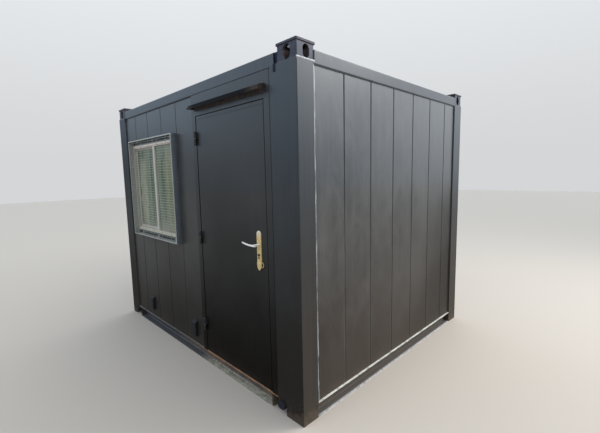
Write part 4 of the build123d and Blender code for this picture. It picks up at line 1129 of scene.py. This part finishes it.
# Plate, latch and bolt: how far each starts in and stands out, half its width, foot, head and edge
lockParts = (
    (0.0002, 0.0014, 0.010, 1.0105, 1.2455, 0.0005),
    (0.0005, 0.0022, 0.006, 1.150, 1.182, 0.0008),
    (0.0005, 0.0020, 0.0055, 1.060, 1.092, 0.0006),
)
keeperLook = {
    "inset": 0.015, "depth": (-0.0012, 0.0002), "across": (-0.011, 0.011),
    "height": (1.02, 1.22), "edge": 0.0004,
}
lockY = leafMiddle.y + 0.002
edgeParts = []
for inside, outside, half, foot, head, edge in lockParts:
    partEnds = zip(span(leafHigh.x, (-inside, outside)), span(lockY, (-half, half)), (foot, head))
    edgeParts.append(roundedBlock(*partEnds, edge))
finish(joinPieces(edgeParts), "lock_edge_plate", "door", small["zinc_screw"])
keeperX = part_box("door_jamb_latch_side")[0].x + keeperLook["inset"]
keeperEnds = zip(span(keeperX, keeperLook["depth"]), span(lockY, keeperLook["across"]), keeperLook["height"])
keeper = roundedBlock(*keeperEnds, keeperLook["edge"])
finish(keeper, "lock_keeper", "cabin", small["zinc_screw"])

# Small parts: screws of the lock plates, the keyway, the hood's rivets, the vents' screws, hinge washers

screwLook = {
    "inset": 0.014, "radius": 0.0042, "flat": 0.35, "lift": 0.0002,
    "slotX": (-0.0036, 0.0036), "slotY": (-0.0030, -0.0008), "slotZ": (-0.0005, 0.0005),
}
plateX = (plateLow.x + plateHigh.x) / 2
plateScrews = []
for z in (plateHigh.z - screwLook["inset"], plateLow.z + screwLook["inset"]):
    spot = (plateX, plateLow.y + screwLook["lift"], z)
    shape = (1, screwLook["flat"], 1)
    screw = addShape("uv_sphere", spot, shape, segments=20, ring_count=10, radius=screwLook["radius"])
    slotX, slotY = span(plateX, screwLook["slotX"]), span(plateLow.y, screwLook["slotY"])
    slot = block(*zip(slotX, slotY, span(z, screwLook["slotZ"])))
    useModifier(screw, "BOOLEAN", object=slot, operation="DIFFERENCE", solver="EXACT")
    bpy.data.objects.remove(slot)
    bpy.ops.object.shade_smooth_by_angle(angle=math.radians(40))
    plateScrews.append(screw)
finish(joinPieces(plateScrews), "plate_screws", "door", wornBrass)

keyLook = {
    "drop": 0.0085, "rim": (0.0090, 0.0019), "rimIn": 0.0002, "depth": (-0.0005, 0.0006), "corner": 0.0046,
    "slots": (((-0.0078, 0.0078), (-0.0078, 0.0078)), ((-0.0060, 0.0066), (-0.0270, -0.0135))),
}
lockLow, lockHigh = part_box("lock_cylinder")
keyMiddle = Vector(((lockLow.x + lockHigh.x) / 2, lockLow.y, lockHigh.z - keyLook["drop"]))
rimAt = keyMiddle + Vector((0, keyLook["rimIn"], 0))
keyRim = ring(rimAt, 32, *keyLook["rim"], turn=(math.pi / 2, 0, 0))
finish(keyRim, "keyway_rim", "door", small["brown_rust"])
# Painted shade: flat black plates stand for the dark keyhole and the dark spot below it.
keyShades = []
for across, height in keyLook["slots"]:
    slotY = span(keyMiddle.y, keyLook["depth"])
    shadePlate = block(*zip(span(keyMiddle.x, across), slotY, span(keyMiddle.z, height)))
    rounding = {"offset": keyLook["corner"], "segments": 5, "affect": "EDGES"}
    reshape(shadePlate, "EDGE", lambda along: abs(along.y) > 0.9, bpy.ops.mesh.bevel, **rounding)
    keyShades.append(shadePlate)
finish(joinPieces(keyShades), "keyway_shade", "door", rubber)

rivetLook = {
    "at": (0.045, 0.0027, 0.016), "radius": 0.0050, "flat": 0.45, "count": 6, "size": 0.004, "lump": 0.0006,
}
rivetAt = hoodLow + Vector(rivetLook["at"])
shape = (1, rivetLook["flat"], 1)
rivet = addShape("uv_sphere", rivetAt, shape, segments=16, ring_count=8, radius=rivetLook["radius"])
roughen(rivet, rivetLook["size"], rivetLook["lump"])
bpy.ops.object.shade_smooth()
rivetPitch = (hoodHigh.x - hoodLow.x - 2 * rivetLook["at"][0]) / (rivetLook["count"] - 1)
rivets = [rivet] + [copyOf(rivet, (n * rivetPitch, 0, 0)) for n in range(1, rivetLook["count"])]
finish(joinPieces(rivets), "hood_rivets", "cabin", paints["hood_paint"])

ventLook = {"inset": (0.008, 0.009), "depth": (0.0052, 0.0030), "radius": 0.0036, "edge": 0.0007}
ventLow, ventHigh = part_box("low_vents")
ventScrews = []
for x in (ventLow.x + ventLook["inset"][0], ventHigh.x - ventLook["inset"][0]):
    for z in (ventLow.z + ventLook["inset"][1], ventHigh.z - ventLook["inset"][1]):
        screwEnds = ((x, ventHigh.y - depth, z) for depth in ventLook["depth"])
        screw = bar(*screwEnds, ventLook["radius"], 10)
        roundEdges(screw, ventLook["edge"])
        ventScrews.append(screw)
finish(joinPieces(ventScrews), "vent_screws", "cabin", small["zinc_screw"])

washerLook = {"inset": 0.011, "middles": (0.358, 1.130, 1.959), "ring": (0.0086, 0.0022), "flat": 0.40}
halvesLow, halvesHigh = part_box("hinge_lower_halves")
hingeX = halvesHigh.x - washerLook["inset"]
hingeY = halvesLow.y + washerLook["inset"]
flat = (1, 1, washerLook["flat"])
washers = [ring((hingeX, hingeY, z), 28, *washerLook["ring"], scale=flat) for z in washerLook["middles"]]
finish(joinPieces(washers), "hinge_washers", "cabin", wornBrass)
print("door fittings made")

# Floor, light and camera

floorLook = {"size": 60, "colour": (0.40, 0.350, 0.290), "seen": (0.56, 0.49, 0.42), "roughness": 0.95}
bpy.ops.mesh.primitive_plane_add(size=floorLook["size"], location=(0, 0, cadLow.z))
floor = bpy.context.object
floor.name = "floor"
floorMaterial, floorTree, floorShader = blankMaterial("floor")
seenDirectly = put(floorTree, "LightPath").outputs["Is Camera Ray"]
dress(floorShader, mixed(seenDirectly, floorLook["colour"], floorLook["seen"]), floorLook["roughness"], [])
floor.data.materials.append(floorMaterial)

studio = {
    "bright": (1.70, 1.85, 1.98), "blue": (0.58, 0.73, 0.90), "dim": (0.24, 0.25, 0.27),
    "horizon": (0.50, 0.485, 0.46), "lift": 1.9, "glow": 1.2, "shade": 0.45, "zenith": 0.55,
    "brightTowards": (0.55, 0.83, 0.0), "blueTowards": (-0.90, -0.44, 0.0),
    "shadeTowards": (-0.97, -0.24, 0.0),
    "backdropLow": (0.66, 0.67, 0.68), "backdropHigh": (0.84, 0.87, 0.90),
}
world = bpy.data.worlds.new("studio")
bpy.context.scene.world = world
world.use_nodes = True
worldTree = world.node_tree
direction = put(worldTree, "TexCoord").outputs["Generated"]
elevation = put(worldTree, "SeparateXYZ", {0: direction}).outputs["Z"]


def lobe(towards, start, end):
    leaning = put(worldTree, "VectorMath", {0: direction, 1: towards}, operation="DOT_PRODUCT")
    return ranged(leaning.outputs["Value"], start, end, smooth=True)


def scaled(colour, level):
    return put(worldTree, "VectorMath", {0: colour, "Scale": level}, operation="SCALE").outputs["Vector"]


skyColour = mixed(lobe(studio["blueTowards"], 0.0, 0.75), studio["dim"], studio["blue"])
skyColour = mixed(ranged(elevation, 0.0, 0.15, smooth=True), studio["horizon"], skyColour)
skyColour = scaled(skyColour, ranged(elevation, 0.04, 0.26, 1, studio["lift"], smooth=True))
brightColour = scaled(studio["bright"], ranged(elevation, 0.05, 0.35, 1, studio["glow"], smooth=True))
skyColour = mixed(lobe(studio["brightTowards"], -0.35, 0.55), skyColour, brightColour)
overhead = ranged(elevation, 0.35, 0.95, 1, studio["zenith"])
skyline = ranged(elevation, -0.02, 0.16, 0.55, 1, smooth=True)
shade = ranged(lobe(studio["shadeTowards"], 0.980, 0.997), 0, 1, 1, studio["shade"])
skyColour = scaled(skyColour, times(overhead, skyline, shade))
rising = ranged(elevation, 0.0, 0.6, smooth=True)
backdrop = mixed(rising, studio["backdropLow"], studio["backdropHigh"])
rays = put(worldTree, "LightPath").outputs
seenThrough = most(rays["Is Camera Ray"], rays["Is Transmission Ray"])
feed(worldTree.nodes["Background"].inputs["Color"], mixed(seenThrough, skyColour, backdrop))


def addLamp(name, place, aim, size, power):
    lamp = bpy.data.lights.new(name, "AREA")
    lamp.shape = "DISK"
    lamp.size = size
    lamp.energy = power
    holder = bpy.data.objects.new(name, lamp)
    bpy.context.scene.collection.objects.link(holder)
    holder.location = place
    holder.rotation_euler = (Vector(aim) - Vector(place)).to_track_quat("-Z", "Y").to_euler()


addLamp("side_lamp", (4.5, 3.4, 5.2), (xRight, 0.2, 1.9), 2.8, 200)
addLamp("front_lamp", (0.6, -6.0, 5.2), (-0.3, yFront, 1.8), 2.5, 60)

cameraView = {
    "place": (3.00357, -2.67795, 1.6446), "turn": (1.45256, 0.0206646, 0.789119),
    "lens": 21.074, "sensor": 36, "clip": 200,
}
camera = bpy.data.objects.new("camera", bpy.data.cameras.new("camera"))
bpy.context.scene.collection.objects.link(camera)
camera.location = cameraView["place"]
camera.rotation_euler = cameraView["turn"]
camera.data.sensor_width = cameraView["sensor"]
camera.data.sensor_fit = "HORIZONTAL"
camera.data.lens = cameraView["lens"]
camera.data.clip_end = cameraView["clip"]
bpy.context.scene.camera = camera
bpy.context.scene.view_settings.view_transform = "Standard"
print("floor, light and camera set")
